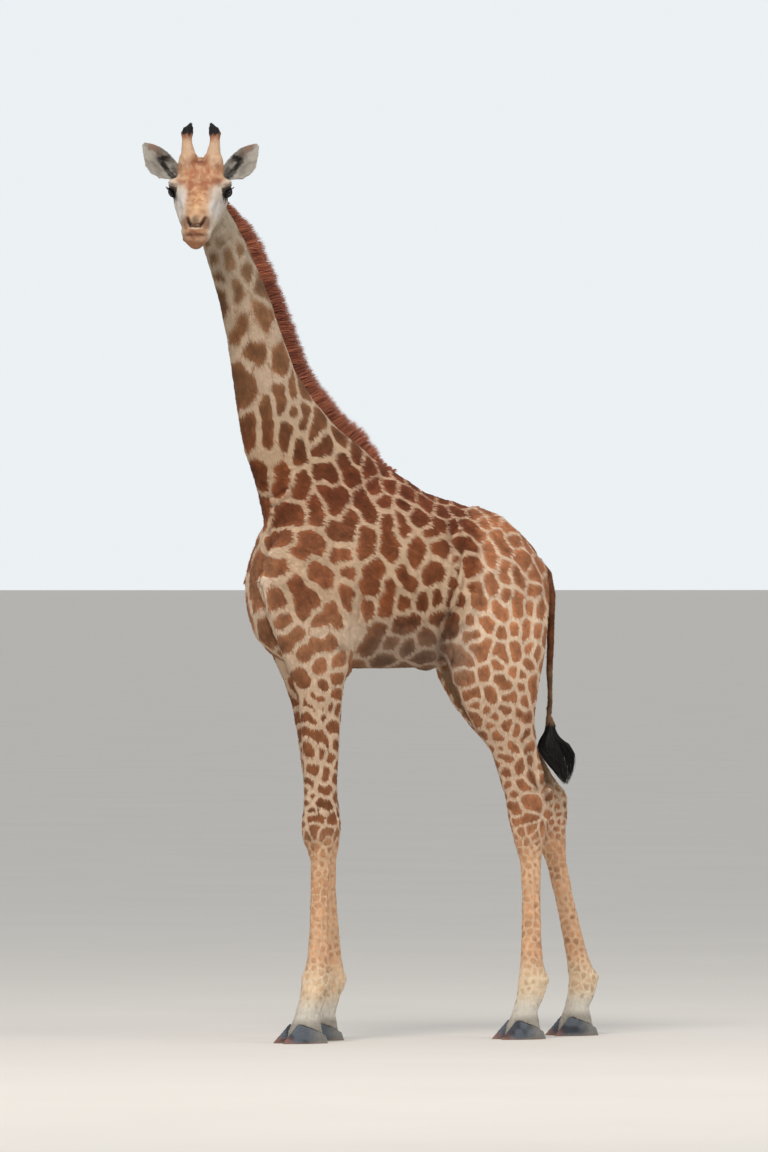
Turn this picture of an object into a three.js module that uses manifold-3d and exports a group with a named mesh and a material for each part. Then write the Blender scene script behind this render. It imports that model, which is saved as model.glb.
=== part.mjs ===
// A young southern giraffe bull, standing still with its head turned to its left.
// Millimetres, +Z up. The animal faces -Y, its left side is +X, and all four feet stand on Z = 0.
//
// The flesh is lofted from sections at named stations, joined, and then parted by thin cuts into
// the pieces a person would name. Hooves, eyes, ossicones, ears, mane and tail are lofts of their own.

import * as THREE from 'three';
import { mergeVertices } from 'three/addons/utils/BufferGeometryUtils.js';
import Module from 'manifold-3d';

const wasm = await Module();
wasm.setup();

// ---------------------------------------------------------------- driving dimensions

const GAP = 0.3; // width of every parting cut
const MERGE_WITHIN = 1e-4;
const REACH = 3000; // size of the blocks that part the body

// Heights of the landmarks of a leg.
const ELBOW = 1640;
const KNEE = 965;
const HOCK = 1105;
const FORE_FETLOCK = 270;
const HIND_FETLOCK = 262;

// Heights where the neck is parted from the trunk and into lengths, and where the mane is parted.
const NECK_ROOT = 2690;
const NECK_JOINTS = [3090, 3450];
const MANE_JOINT = 3200;
const NECK_CUT_TILT = 0.42; // radians, so that the cuts lie square to the neck

// Pose of the head: where the midpoint of the eyes is, and how the face is turned.
const EYES_AT = new THREE.Vector3(148, -986, 3864);
const FACE_DOWN = THREE.MathUtils.degToRad(38);
const FACE_ROLL = THREE.MathUtils.degToRad(0.5);
const FACE_TURN = THREE.MathUtils.degToRad(61.5);

// Eyes.
const EYE_RADIUS = 25;
const EYE_SPREAD = 117.5; // from the middle of the head to the centre of an eye
const EYE_FORWARD = 2;
const EYE_UP = 0;

// Bony arch over each eye.
const BROW_SPREAD = 100;
const BROW_FORWARD = -6;
const BROW_UP = 34;
const BROW_HALF = new THREE.Vector3(48, 52, 28);

// Ossicones.
const HORN_LENGTH = 222;
const HORN_SPREAD = 58;
const HORN_ROOT_FORWARD = -62;
const HORN_ROOT_UP = 55;
const HORN_LEAN_BACK = THREE.MathUtils.degToRad(36);
const HORN_LEAN_OUT = THREE.MathUtils.degToRad(2);

// Ears.
const EAR_LENGTH = 235;
const EAR_HALF_WIDTH = 58;
const EAR_CUP = 34; // how deep the ear is hollowed
const EAR_WALL = 7;
const EAR_THINNEST = 0.6; // share of the wall left where the ear narrows to nothing
const EAR_RIM = 1; // how far the rim stands ahead of the hollow
const EAR_ROOT = new THREE.Vector3(87, 90, 14); // in the head's frame, left ear
const EAR_RISE = THREE.MathUtils.degToRad(37);
const EAR_SWEEP = { left: THREE.MathUtils.degToRad(26), right: THREE.MathUtils.degToRad(6) };
const EAR_FACING = THREE.MathUtils.degToRad(-8);

// Mane.
const MANE_HEIGHT = 82;
const MANE_HALF_WIDTH = 17;
const MANE_SUNK = 40; // how far its root lies under the crest before it is cut away
const MANE_FOOT = 2600; // height of its lowest section, at the withers
const MANE_RISE = [2560, 2760]; // heights between which it rises at the withers
const MANE_FADE = [3560, 3860]; // heights between which it falls to the poll
const MANE_LEAST = 0.2; // share of its full height at both ends
const MANE_SQUARE = 3;

// The sheath under the belly.
const SHEATH_AT = new THREE.Vector3(0, 205, 1716);
const SHEATH_HALF = new THREE.Vector3(34, 66, 26);

// Tail.
const TAIL_TUFT_TOP = 1430;

// Hooves.
const HOOF_LENGTH = 240;
const HOOF_HALF_WIDTH = 38;
const HOOF_HEIGHT = 88;
const HOOF_HEEL_HEIGHT = 34;
const HOOF_CLEFT = 5; // half of the space between the two claws
const HOOF_LEVELS = [0, 0.5, 1]; // shares of its height
const TOE_LEAN = 0.34; // how far the front wall leans back, as a share of the length
const HEEL_LEAN = 0.06;
const HOOF_TAPER = 0.2; // how much narrower the coronet is than the sole
const TOE_POINT = 0.42; // how much narrower the toe is than the quarters
const TOE_POINT_BLEND = 1.6;
const HOOF_SPLAY = THREE.MathUtils.degToRad(4);

// Numbers of sides of the sections.
const TRUNK_SIDES = 20;
const TRUNK_STEPS = 2; // lengths between two stations of the trunk
const NECK_SIDES = 16;
const LEG_SIDES = 12;
const HEAD_SIDES = 18;
const HORN_SIDES = 10;
const MANE_SIDES = 10;
const TAIL_SIDES = 8;
const EAR_ARC_POINTS = 7;
const EYE_SIDES = 12;
const BUMP_SIDES = 12;
const HOOF_SIDES = 12;

// How the legs stand. swing lists, from the trunk to the ground, a height and how far back the
// leg is carried there from its own stations.
const STANCE = {
  fore_left: { side: 1, swing: [[2300, 0], [0, 0]] },
  fore_right: { side: -1, swing: [[2300, 55], [1600, 104], [965, 148], [270, 196], [0, 206]] },
  hind_left: { side: 1, swing: [[2300, 0], [0, 0]] },
  hind_right: { side: -1, swing: [[2300, 15], [1600, 84], [1105, 210], [800, 268], [262, 392], [0, 404]] },
};

// ---------------------------------------------------------------- stations

// Trunk: sections square to Y, from the breast to the rump. taper narrows the top of a section.
const TRUNK = [
  { y: -662, top: 2160, bottom: 1950, half: 84, taper: 0 },
  { y: -622, top: 2310, bottom: 1830, half: 156, taper: 0.05 },
  { y: -520, top: 2440, bottom: 1740, half: 188, taper: 0.16 },
  { y: -380, top: 2560, bottom: 1700, half: 218, taper: 0.3 },
  { y: -180, top: 2640, bottom: 1696, half: 238, taper: 0.42 },
  { y: 30, top: 2605, bottom: 1696, half: 258, taper: 0.42 },
  { y: 200, top: 2512, bottom: 1704, half: 266, taper: 0.3 },
  { y: 400, top: 2452, bottom: 1722, half: 248, taper: 0.2 },
  { y: 560, top: 2405, bottom: 1790, half: 222, taper: 0.18 },
  { y: 680, top: 2318, bottom: 1850, half: 180, taper: 0.12 },
  { y: 770, top: 2222, bottom: 1930, half: 112, taper: 0.05 },
  { y: 820, top: 2150, bottom: 2010, half: 46, taper: 0 },
];

// Neck: level sections, from inside the chest to the poll.
const NECK = [
  { z: 2060, front: -600, back: -220, x: 0, half: 150 },
  { z: 2240, front: -604, back: -120, x: 0, half: 158 },
  { z: 2380, front: -600, back: -30, x: 0, half: 152 },
  { z: 2500, front: -632, back: 20, x: 0, half: 138 },
  { z: 2600, front: -664, back: 20, x: 0, half: 124 },
  { z: 2690, front: -700, back: -88, x: 0, half: 116 },
  { z: 2800, front: -722, back: -238, x: 0, half: 108 },
  { z: 2930, front: -744, back: -362, x: 0, half: 100 },
  { z: 3060, front: -762, back: -452, x: 0, half: 94 },
  { z: 3210, front: -786, back: -512, x: 0, half: 90 },
  { z: 3370, front: -824, back: -574, x: 2, half: 86 },
  { z: 3500, front: -866, back: -634, x: 8, half: 83 },
  { z: 3620, front: -909, back: -693, x: 14, half: 80 },
  { z: 3720, front: -948, back: -757, x: 22, half: 78 },
  { z: 3810, front: -972, back: -822, x: 28, half: 72 },
  { z: 3880, front: -984, back: -882, x: 32, half: 56 },
];

// Fore leg: level sections, from the shoulder to the pastern.
const FORE_LEG = [
  { z: 2530, front: -330, back: -200, x: 62, half: 30 },
  { z: 2450, front: -430, back: -190, x: 80, half: 48 },
  { z: 2340, front: -550, back: -222, x: 108, half: 70 },
  { z: 2230, front: -655, back: -240, x: 132, half: 88 },
  { z: 2100, front: -708, back: -230, x: 146, half: 98 },
  { z: 1960, front: -668, back: -215, x: 152, half: 96 },
  { z: 1800, front: -600, back: -225, x: 158, half: 90 },
  { z: ELBOW + 60, front: -556, back: -238, x: 160, half: 85 },
  { z: ELBOW, front: -530, back: -274, x: 160, half: 79 },
  { z: 1540, front: -500, back: -288, x: 157, half: 74 },
  { z: 1380, front: -480, back: -296, x: 152, half: 68 },
  { z: 1190, front: -470, back: -306, x: 147, half: 62 },
  { z: 1050, front: -470, back: -302, x: 145, half: 66 },
  { z: KNEE, front: -474, back: -300, x: 144, half: 66 },
  { z: 895, front: -461, back: -314, x: 143, half: 56 },
  { z: 825, front: -433, back: -334, x: 142, half: 44 },
  { z: 690, front: -431, back: -345, x: 140, half: 38 },
  { z: 500, front: -438, back: -344, x: 138, half: 38 },
  { z: 370, front: -452, back: -338, x: 137, half: 45 },
  { z: 305, front: -470, back: -331, x: 136, half: 53 },
  { z: FORE_FETLOCK - 20, front: -478, back: -330, x: 136, half: 56 },
  { z: 188, front: -490, back: -362, x: 135, half: 52 },
  { z: 120, front: -512, back: -386, x: 135, half: 56 },
  { z: 60, front: -540, back: -376, x: 135, half: 62 },
  { z: 16, front: -548, back: -362, x: 135, half: 60 },
];

// Hind leg: level sections, from the hip to the pastern.
const HIND_LEG = [
  { z: 2400, front: 380, back: 560, x: 80, half: 36 },
  { z: 2330, front: 316, back: 636, x: 100, half: 64 },
  { z: 2220, front: 290, back: 712, x: 118, half: 90 },
  { z: 2060, front: 262, back: 776, x: 130, half: 112 },
  { z: 1900, front: 240, back: 764, x: 138, half: 114 },
  { z: 1770, front: 238, back: 748, x: 146, half: 110 },
  { z: 1650, front: 268, back: 718, x: 152, half: 102 },
  { z: 1540, front: 318, back: 698, x: 155, half: 92 },
  { z: 1440, front: 378, back: 690, x: 156, half: 78 },
  { z: 1320, front: 468, back: 706, x: 154, half: 62 },
  { z: 1210, front: 508, back: 744, x: 150, half: 54 },
  { z: HOCK, front: 543, back: 796, x: 147, half: 58 },
  { z: 1010, front: 562, back: 774, x: 145, half: 56 },
  { z: 900, front: 592, back: 744, x: 143, half: 48 },
  { z: 810, front: 624, back: 730, x: 142, half: 40 },
  { z: 650, front: 634, back: 727, x: 141, half: 36 },
  { z: 480, front: 632, back: 732, x: 140, half: 37 },
  { z: 360, front: 626, back: 740, x: 139, half: 44 },
  { z: HIND_FETLOCK, front: 616, back: 766, x: 138, half: 54 },
  { z: 200, front: 608, back: 752, x: 138, half: 50 },
  { z: 130, front: 588, back: 712, x: 137, half: 54 },
  { z: 62, front: 556, back: 724, x: 137, half: 60 },
  { z: 16, front: 548, back: 738, x: 137, half: 58 },
];

// Head in its own frame, as if it looked level along -Y: sections square to Y.
// The origin is midway between the eyes. forward runs towards the lips.
const HEAD = [
  { forward: -196, top: 44, bottom: -50, half: 48, square: 2.0 },
  { forward: -160, top: 80, bottom: -98, half: 78, square: 2.1 },
  { forward: -110, top: 100, bottom: -134, half: 100, square: 2.3 },
  { forward: -55, top: 104, bottom: -150, half: 114, square: 2.5 },
  { forward: 0, top: 94, bottom: -152, half: 126, square: 2.5 },
  { forward: 45, top: 82, bottom: -146, half: 116, square: 2.7 },
  { forward: 100, top: 68, bottom: -132, half: 102, square: 2.8 },
  { forward: 160, top: 56, bottom: -116, half: 87, square: 2.8 },
  { forward: 220, top: 47, bottom: -101, half: 73, square: 2.7 },
  { forward: 280, top: 42, bottom: -90, half: 67, square: 2.6 },
  { forward: 322, top: 34, bottom: -80, half: 61, square: 2.3 },
  { forward: 348, top: 16, bottom: -67, half: 48, square: 2.2 },
  { forward: 362, top: -8, bottom: -47, half: 30, square: 2.1 },
];

// Ossicone: radius along its length, from the flared root to the tufted tip.
const HORN = [
  { along: -0.12, radius: 55, aside: -4 },
  { along: 0.12, radius: 51, aside: -4 },
  { along: 0.24, radius: 46, aside: -5 },
  { along: 0.34, radius: 40, aside: -5 },
  { along: 0.45, radius: 31, aside: -3 },
  { along: 0.6, radius: 24, aside: 0 },
  { along: 0.7, radius: 22, aside: 0 },
  { along: 0.8, radius: 26, aside: -1 },
  { along: 0.9, radius: 22, aside: -6 },
  { along: 1.0, radius: 6, aside: -17 },
];

// Ear: share of its half width and of its cup along its length.
const EAR = [
  { along: 0.0, width: 0.34, cup: 0.35, droop: 0.0 },
  { along: 0.16, width: 0.62, cup: 0.85, droop: 0.1 },
  { along: 0.34, width: 0.98, cup: 1.0, droop: 0.22 },
  { along: 0.52, width: 1.08, cup: 0.8, droop: 0.22 },
  { along: 0.7, width: 0.98, cup: 0.5, droop: 0.14 },
  { along: 0.86, width: 0.6, cup: 0.25, droop: -0.06 },
  { along: 1.0, width: 0.16, cup: 0.08, droop: -0.2 },
];

// Tail: its middle line, from the croup to the tip of the tuft.
const TAIL = [
  { y: 764, z: 2196, half: 32, thick: 34 },
  { y: 828, z: 2130, half: 27, thick: 27 },
  { y: 850, z: 2040, half: 23, thick: 23 },
  { y: 848, z: 1880, half: 20, thick: 21 },
  { y: 842, z: 1700, half: 17, thick: 18 },
  { y: 844, z: 1560, half: 14, thick: 15 },
  { y: 838, z: 1480, half: 14, thick: 16 },
  { y: 846, z: TAIL_TUFT_TOP, half: 24, thick: 29 },
  { y: 860, z: 1390, half: 42, thick: 58 },
  { y: 872, z: 1340, half: 50, thick: 74 },
  { y: 884, z: 1282, half: 46, thick: 74 },
  { y: 902, z: 1222, half: 30, thick: 44 },
  { y: 916, z: 1164, half: 6, thick: 8 },
];

// ---------------------------------------------------------------- materials

function material(color, roughness) {
  return new THREE.MeshStandardMaterial({ color, roughness, metalness: 0 });
}

const COAT_COLOR = 0xb98258;
const LEG_COLOR = 0xc79a72;
const MANE_COLOR = 0x6b3322;
const TUFT_COLOR = 0x17120f;
const HORN_COLOR = 0xb07a4e;
const EAR_COLOR = 0x9d8d80;
const HOOF_COLOR = 0x4a4f56;
const EYE_COLOR = 0x120c09;
const HAIR_ROUGHNESS = 0.85;
const HORNY_ROUGHNESS = 0.55;
const EYE_ROUGHNESS = 0.1;

// ---------------------------------------------------------------- solids

// A closed geometry's shared vertices are merged, and it becomes a solid.
function solidOf(geometry) {
  const bare = geometry.clone();
  bare.deleteAttribute('normal');
  bare.deleteAttribute('uv');
  const merged = mergeVertices(bare, MERGE_WITHIN);
  return new wasm.Manifold(new wasm.Mesh({
    numProp: 3,
    vertProperties: new Float32Array(merged.attributes.position.array),
    triVerts: new Uint32Array(merged.index.array),
  }));
}

function geometryOf(solid) {
  const mesh = solid.getMesh();
  const geometry = new THREE.BufferGeometry();
  geometry.setAttribute('position', new THREE.BufferAttribute(mesh.vertProperties, 3));
  geometry.setIndex(new THREE.BufferAttribute(mesh.triVerts, 1));
  geometry.computeVertexNormals();
  return geometry;
}

// The largest body of a solid, without the slivers a cut may leave beside it.
function mainBody(solid) {
  const bodies = solid.decompose();
  return bodies.reduce((best, body) => (body.volume() > best.volume() ? body : best));
}

function piece(name, solid, color, roughness) {
  const mesh = new THREE.Mesh(geometryOf(mainBody(solid)), material(color, roughness));
  mesh.name = name;
  return mesh;
}

// ---------------------------------------------------------------- lofts

// One smooth value between stations, by a cubic through the neighbours' slopes.
function cubic(before, start, end, after, key, along, share) {
  const span = end[along] - start[along];
  const slopeStart = (end[key] - before[key]) / (end[along] - before[along] || 1);
  const slopeEnd = (after[key] - start[key]) / (after[along] - start[along] || 1);
  const s2 = share * share;
  const s3 = s2 * share;
  return start[key] * (2 * s3 - 3 * s2 + 1)
    + slopeStart * span * (s3 - 2 * s2 + share)
    + end[key] * (3 * s2 - 2 * s3)
    + slopeEnd * span * (s3 - s2);
}

// The stations with extra ones between each pair.
function refine(stations, along, steps) {
  const fine = [];
  for (let i = 0; i + 1 < stations.length; i += 1) {
    const before = stations[Math.max(i - 1, 0)];
    const after = stations[Math.min(i + 2, stations.length - 1)];
    for (let step = 0; step < steps; step += 1) {
      const station = {};
      for (const key of Object.keys(stations[i])) {
        station[key] = cubic(before, stations[i], stations[i + 1], after, key, along, step / steps);
      }
      fine.push(station);
    }
  }
  fine.push(stations[stations.length - 1]);
  return fine;
}

function power(value, exponent) {
  return Math.sign(value) * Math.abs(value) ** exponent;
}

// A closed ring of points round a centre. square above 2 makes it boxier, taper narrows its top.
function ring({ centre, side, up, halfSide, halfUp, sides, square = 2, taper = 0 }) {
  const points = [];
  for (let i = 0; i < sides; i += 1) {
    const angle = (2 * Math.PI * (i + 0.5)) / sides;
    const high = power(Math.sin(angle), 2 / square);
    const wide = power(Math.cos(angle), 2 / square) * (1 - taper * Math.max(high, 0));
    points.push(centre.clone().addScaledVector(side, wide * halfSide).addScaledVector(up, high * halfUp));
  }
  return points;
}

// A closed solid through rings with equal numbers of points.
function skinRings(rings) {
  const sides = rings[0].length;
  const points = rings.flat();
  const triangles = [];
  for (let r = 0; r + 1 < rings.length; r += 1) {
    for (let i = 0; i < sides; i += 1) {
      const a = r * sides + i;
      const b = r * sides + ((i + 1) % sides);
      triangles.push(a, b, b + sides, a, b + sides, a + sides);
    }
  }
  for (const [r, outward] of [[0, false], [rings.length - 1, true]]) {
    const hub = points.length;
    const middle = new THREE.Vector3();
    rings[r].forEach((point) => middle.addScaledVector(point, 1 / sides));
    points.push(middle);
    for (let i = 0; i < sides; i += 1) {
      const a = r * sides + i;
      const b = r * sides + ((i + 1) % sides);
      triangles.push(...(outward ? [a, b, hub] : [b, a, hub]));
    }
  }
  return orient(points, triangles);
}

// The solid of a closed shell, turned right side out if it has to be.
function orient(points, triangles) {
  let volume = 0;
  for (let t = 0; t < triangles.length; t += 3) {
    const [a, b, c] = [points[triangles[t]], points[triangles[t + 1]], points[triangles[t + 2]]];
    volume += a.dot(new THREE.Vector3().crossVectors(b, c));
  }
  const order = volume > 0 ? triangles : triangles.reverse();
  const geometry = new THREE.BufferGeometry().setFromPoints(points);
  geometry.setIndex(order);
  return solidOf(geometry);
}

const X_AXIS = new THREE.Vector3(1, 0, 0);
const Y_AXIS = new THREE.Vector3(0, 1, 0);
const Z_AXIS = new THREE.Vector3(0, 0, 1);

// A loft through level sections: a leg or the neck. grow swells it on every side.
function uprightLoft(stations, sides, grow = 0) {
  const rings = stations.map((s) => ring({
    centre: new THREE.Vector3(s.x, (s.front + s.back) / 2, s.z),
    side: X_AXIS,
    up: Y_AXIS,
    halfSide: s.half + grow,
    halfUp: (s.back - s.front) / 2 + grow,
    sides,
  }));
  return skinRings(rings);
}

// A loft through upright sections square to Y: the trunk.
function trunkLoft(stations, sides, grow = 0) {
  const rings = refine(stations, 'y', TRUNK_STEPS).map((s) => ring({
    centre: new THREE.Vector3(0, s.y, (s.top + s.bottom) / 2),
    side: X_AXIS,
    up: Z_AXIS,
    halfSide: s.half + grow,
    halfUp: (s.top - s.bottom) / 2 + grow,
    sides,
    taper: s.taper,
  }));
  return skinRings(rings);
}

// A rounded bump with three half sizes.
function bump(centre, half) {
  const ball = new THREE.SphereGeometry(1, BUMP_SIDES, BUMP_SIDES - 4);
  ball.scale(half.x, half.y, half.z);
  ball.translate(centre.x, centre.y, centre.z);
  return solidOf(ball);
}

// A block whose one face passes through a point, square to a direction, and which lies beyond it.
function halfSpace(point, direction) {
  const block = new THREE.BoxGeometry(REACH * 2, REACH * 2, REACH * 2);
  block.translate(0, 0, REACH);
  const turn = new THREE.Quaternion().setFromUnitVectors(Z_AXIS, direction.clone().normalize());
  block.applyQuaternion(turn);
  block.translate(point.x, point.y, point.z);
  return solidOf(block);
}

// The part of a solid beyond a cut, and the part before it, a gap apart.
function part(solid, point, direction) {
  const unit = direction.clone().normalize();
  const beyond = solid.intersect(halfSpace(point.clone().addScaledVector(unit, GAP / 2), unit));
  const before = solid.intersect(
    halfSpace(point.clone().addScaledVector(unit, -GAP / 2), unit.clone().negate()),
  );
  return { beyond, before };
}

// ---------------------------------------------------------------- legs

function swingAt(swing, z) {
  for (let i = 0; i + 1 < swing.length; i += 1) {
    const [top, topBack] = swing[i];
    const [low, lowBack] = swing[i + 1];
    if (z >= low) {
      const share = Math.min((top - z) / (top - low), 1);
      return topBack + (lowBack - topBack) * Math.max(share, 0);
    }
  }
  return swing[swing.length - 1][1];
}

function legStations(stations, stance) {
  return stations.map((s) => {
    const back = swingAt(stance.swing, s.z);
    return { ...s, front: s.front + back, back: s.back + back, x: s.x * stance.side };
  });
}

// One claw: a flat sole with a pointed toe, rising to a slanting coronet.
// outer is +1 for the claw on +X of its foot. grow swells it for the flesh it is set into.
function claw(footX, toeY, outer, grow) {
  const rings = HOOF_LEVELS.map((level) => {
    const toe = HOOF_LENGTH * (level * TOE_LEAN - 0.5);
    const heel = HOOF_LENGTH * (0.5 - level * HEEL_LEAN);
    const half = HOOF_HALF_WIDTH * (1 - HOOF_TAPER * level * level) + grow;
    const points = [];
    for (let i = 0; i < HOOF_SIDES; i += 1) {
      const angle = (2 * Math.PI * i) / HOOF_SIDES;
      const along = -Math.cos(angle);
      const pinch = 1 - TOE_POINT * Math.max(-along, 0) ** TOE_POINT_BLEND;
      const rise = THREE.MathUtils.mapLinear(along, -1, 1, HOOF_HEIGHT, HOOF_HEEL_HEIGHT);
      const point = new THREE.Vector3(
        Math.sin(angle) * half * pinch,
        THREE.MathUtils.mapLinear(along, -1, 1, toe - grow, heel + grow),
        level * rise + grow * Math.sign(level),
      );
      point.applyAxisAngle(Z_AXIS, outer * HOOF_SPLAY);
      point.x += footX + outer * (HOOF_HALF_WIDTH + HOOF_CLEFT);
      point.y += toeY + HOOF_LENGTH / 2;
      points.push(point);
    }
    return points;
  });
  return skinRings(rings);
}

function clawPlace(stations, stance, toeLead) {
  const foot = legStations(stations, stance)[stations.length - 1];
  return { x: foot.x, toe: foot.front - toeLead };
}

// How far the toes reach ahead of the last section of the pastern.
const FORE_TOE_LEAD = 50;
const HIND_TOE_LEAD = 46;

// Heights where the legs are parted above the knee or hock, and above the fetlock.
const ABOVE_KNEE = KNEE + 130;
const ABOVE_HOCK = HOCK + 130;
const ABOVE_FORE_FETLOCK = FORE_FETLOCK + 82;
const ABOVE_HIND_FETLOCK = HIND_FETLOCK + 86;

// Where the legs are parted from the trunk.
const CROTCH_HALF_WIDTH = 24;
const CROTCH_HEIGHT = ELBOW - 20;
const CROSS_HEIGHT = 1800;
const FORE_PARTING = {
  lean: THREE.MathUtils.degToRad(34),
  crossAt: -216,
  crossWay: -1,
  crossSlope: THREE.MathUtils.degToRad(12),
};
const HIND_PARTING = {
  lean: THREE.MathUtils.degToRad(28),
  crossAt: 238,
  crossWay: 1,
  crossSlope: THREE.MathUtils.degToRad(-5),
};

const FORE = {
  stations: FORE_LEG,
  toeLead: FORE_TOE_LEAD,
  upperCut: ABOVE_KNEE,
  footCut: ABOVE_FORE_FETLOCK,
  parting: FORE_PARTING,
};
const HIND = {
  stations: HIND_LEG,
  toeLead: HIND_TOE_LEAD,
  upperCut: ABOVE_HOCK,
  footCut: ABOVE_HIND_FETLOCK,
  parting: HIND_PARTING,
};
const LEGS = { fore_left: FORE, fore_right: FORE, hind_left: HIND, hind_right: HIND };

// The block a leg is taken from: outside a plane that leans outwards, and before or behind a
// cross plane along the elbow or the flank. reach is where its faces lie beside those planes.
function legBlock(name, reach) {
  const stance = STANCE[name];
  const { lean, crossAt, crossWay, crossSlope } = LEGS[name].parting;
  const aside = new THREE.Vector3(stance.side, 0, 0);
  const middle = halfSpace(aside.clone().multiplyScalar(GAP), aside);
  const outward = new THREE.Vector3(stance.side * Math.cos(lean), 0, -Math.sin(lean));
  const inner = new THREE.Vector3(stance.side * CROTCH_HALF_WIDTH, 0, CROTCH_HEIGHT);
  const cross = new THREE.Vector3(0, crossWay * Math.cos(crossSlope), crossWay * Math.sin(crossSlope));
  const crossPoint = new THREE.Vector3(0, crossAt + swingAt(stance.swing, CROSS_HEIGHT), CROSS_HEIGHT);
  return middle
    .intersect(halfSpace(inner.addScaledVector(outward, reach), outward))
    .intersect(halfSpace(crossPoint.addScaledVector(cross, reach), cross));
}

// ---------------------------------------------------------------- body

function buildBody() {
  let body = trunkLoft(TRUNK, TRUNK_SIDES);
  body = body.add(uprightLoft(NECK, NECK_SIDES));
  body = body.add(bump(SHEATH_AT, SHEATH_HALF));
  for (const [name, leg] of Object.entries(LEGS)) {
    body = body.add(uprightLoft(legStations(leg.stations, STANCE[name]), LEG_SIDES));
  }
  return body;
}

function legPieces(body, name) {
  const leg = LEGS[name];
  const stance = STANCE[name];
  const place = clawPlace(leg.stations, stance, leg.toeLead);
  const whole = body.intersect(legBlock(name, GAP / 2));
  const upper = part(whole, new THREE.Vector3(0, 0, leg.upperCut), Z_AXIS);
  const lower = part(upper.before, new THREE.Vector3(0, 0, leg.footCut), Z_AXIS);
  let foot = lower.before;
  const pieces = [];
  for (const [label, outer] of [['outer', stance.side], ['inner', -stance.side]]) {
    foot = foot.subtract(claw(place.x, place.toe, outer, GAP));
    const hoof = claw(place.x, place.toe, outer, 0);
    pieces.push(piece(`hoof_${name}_${label}`, hoof, HOOF_COLOR, HORNY_ROUGHNESS));
  }
  pieces.push(piece(`leg_${name}_upper`, upper.beyond, COAT_COLOR, HAIR_ROUGHNESS));
  pieces.push(piece(`leg_${name}_lower`, lower.beyond, LEG_COLOR, HAIR_ROUGHNESS));
  pieces.push(piece(`leg_${name}_foot`, foot, LEG_COLOR, HAIR_ROUGHNESS));
  return pieces;
}

// ---------------------------------------------------------------- head

function headLoft(grow = 0) {
  const rings = HEAD.map((s) => ring({
    centre: new THREE.Vector3(0, -s.forward, (s.top + s.bottom) / 2),
    side: X_AXIS,
    up: Z_AXIS,
    halfSide: s.half + grow,
    halfUp: (s.top - s.bottom) / 2 + grow,
    sides: HEAD_SIDES,
    square: s.square,
  }));
  let skull = skinRings(rings);
  for (const side of [1, -1]) {
    const brow = new THREE.Vector3(side * BROW_SPREAD, -BROW_FORWARD, BROW_UP);
    skull = skull.add(bump(brow, BROW_HALF.clone().addScalar(grow)));
  }
  return skull;
}

function eyeCentre(side) {
  return new THREE.Vector3(side * EYE_SPREAD, -EYE_FORWARD, EYE_UP);
}

function eyeBall(side, grow) {
  const ball = new THREE.SphereGeometry(EYE_RADIUS + grow, EYE_SIDES, EYE_SIDES - 4);
  const centre = eyeCentre(side);
  ball.translate(centre.x, centre.y, centre.z);
  return solidOf(ball);
}

// One ossicone, leaning back along the skull and a little outwards.
function hornLoft(side, grow = 0) {
  const root = new THREE.Vector3(side * HORN_SPREAD, -HORN_ROOT_FORWARD, HORN_ROOT_UP);
  const axis = Z_AXIS.clone();
  axis.applyAxisAngle(Y_AXIS, side * HORN_LEAN_OUT);
  axis.applyAxisAngle(X_AXIS, -HORN_LEAN_BACK);
  const across = new THREE.Vector3(side, 0, 0);
  const turned = new THREE.Quaternion().setFromUnitVectors(Z_AXIS, axis);
  const rings = HORN.map((s) => ring({
    centre: root.clone()
      .addScaledVector(axis, s.along * HORN_LENGTH)
      .addScaledVector(across, s.aside),
    side: X_AXIS.clone().applyQuaternion(turned),
    up: Y_AXIS.clone().applyQuaternion(turned),
    halfSide: s.radius + grow,
    halfUp: s.radius + grow,
    sides: HORN_SIDES,
  }));
  return skinRings(rings);
}

// One ear: a leaf with a hollowed front, in its own frame.
// Its length runs outwards along X, its width along Z, and the hollow opens towards -Y.
function earRings(side) {
  return EAR.map((s) => {
    const half = s.width * EAR_HALF_WIDTH;
    const cup = s.cup * EAR_CUP;
    const wall = EAR_WALL * THREE.MathUtils.lerp(EAR_THINNEST, 1, s.width);
    const centreZ = -s.droop * EAR_HALF_WIDTH;
    const points = [];
    for (let i = 0; i < EAR_ARC_POINTS; i += 1) {
      const angle = (Math.PI * i) / (EAR_ARC_POINTS - 1);
      points.push(new THREE.Vector3(
        side * s.along * EAR_LENGTH,
        Math.sin(angle) * (cup + wall),
        centreZ - Math.cos(angle) * half,
      ));
    }
    for (let i = EAR_ARC_POINTS - 2; i > 0; i -= 1) {
      const angle = (Math.PI * i) / (EAR_ARC_POINTS - 1);
      points.push(new THREE.Vector3(
        side * s.along * EAR_LENGTH,
        Math.sin(angle) * cup - EAR_RIM,
        centreZ - Math.cos(angle) * Math.max(half - wall / 2, half / 2),
      ));
    }
    return points;
  });
}

function earSolid(side, sweep) {
  const place = new THREE.Matrix4().makeRotationX(EAR_FACING)
    .premultiply(new THREE.Matrix4().makeRotationY(-side * EAR_RISE))
    .premultiply(new THREE.Matrix4().makeRotationZ(side * sweep))
    .premultiply(new THREE.Matrix4().makeRotationX(-FACE_DOWN))
    .premultiply(new THREE.Matrix4().makeTranslation(side * EAR_ROOT.x, EAR_ROOT.y, EAR_ROOT.z));
  const rings = earRings(side).map((points) => points.map((p) => p.applyMatrix4(place)));
  return skinRings(rings);
}

// The plane between the jaw and the head: through the lips, falling away towards the throat.
const LIPS_AT = new THREE.Vector3(0, -362, -44);
const JAW_SLOPE = THREE.MathUtils.degToRad(9);

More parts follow.
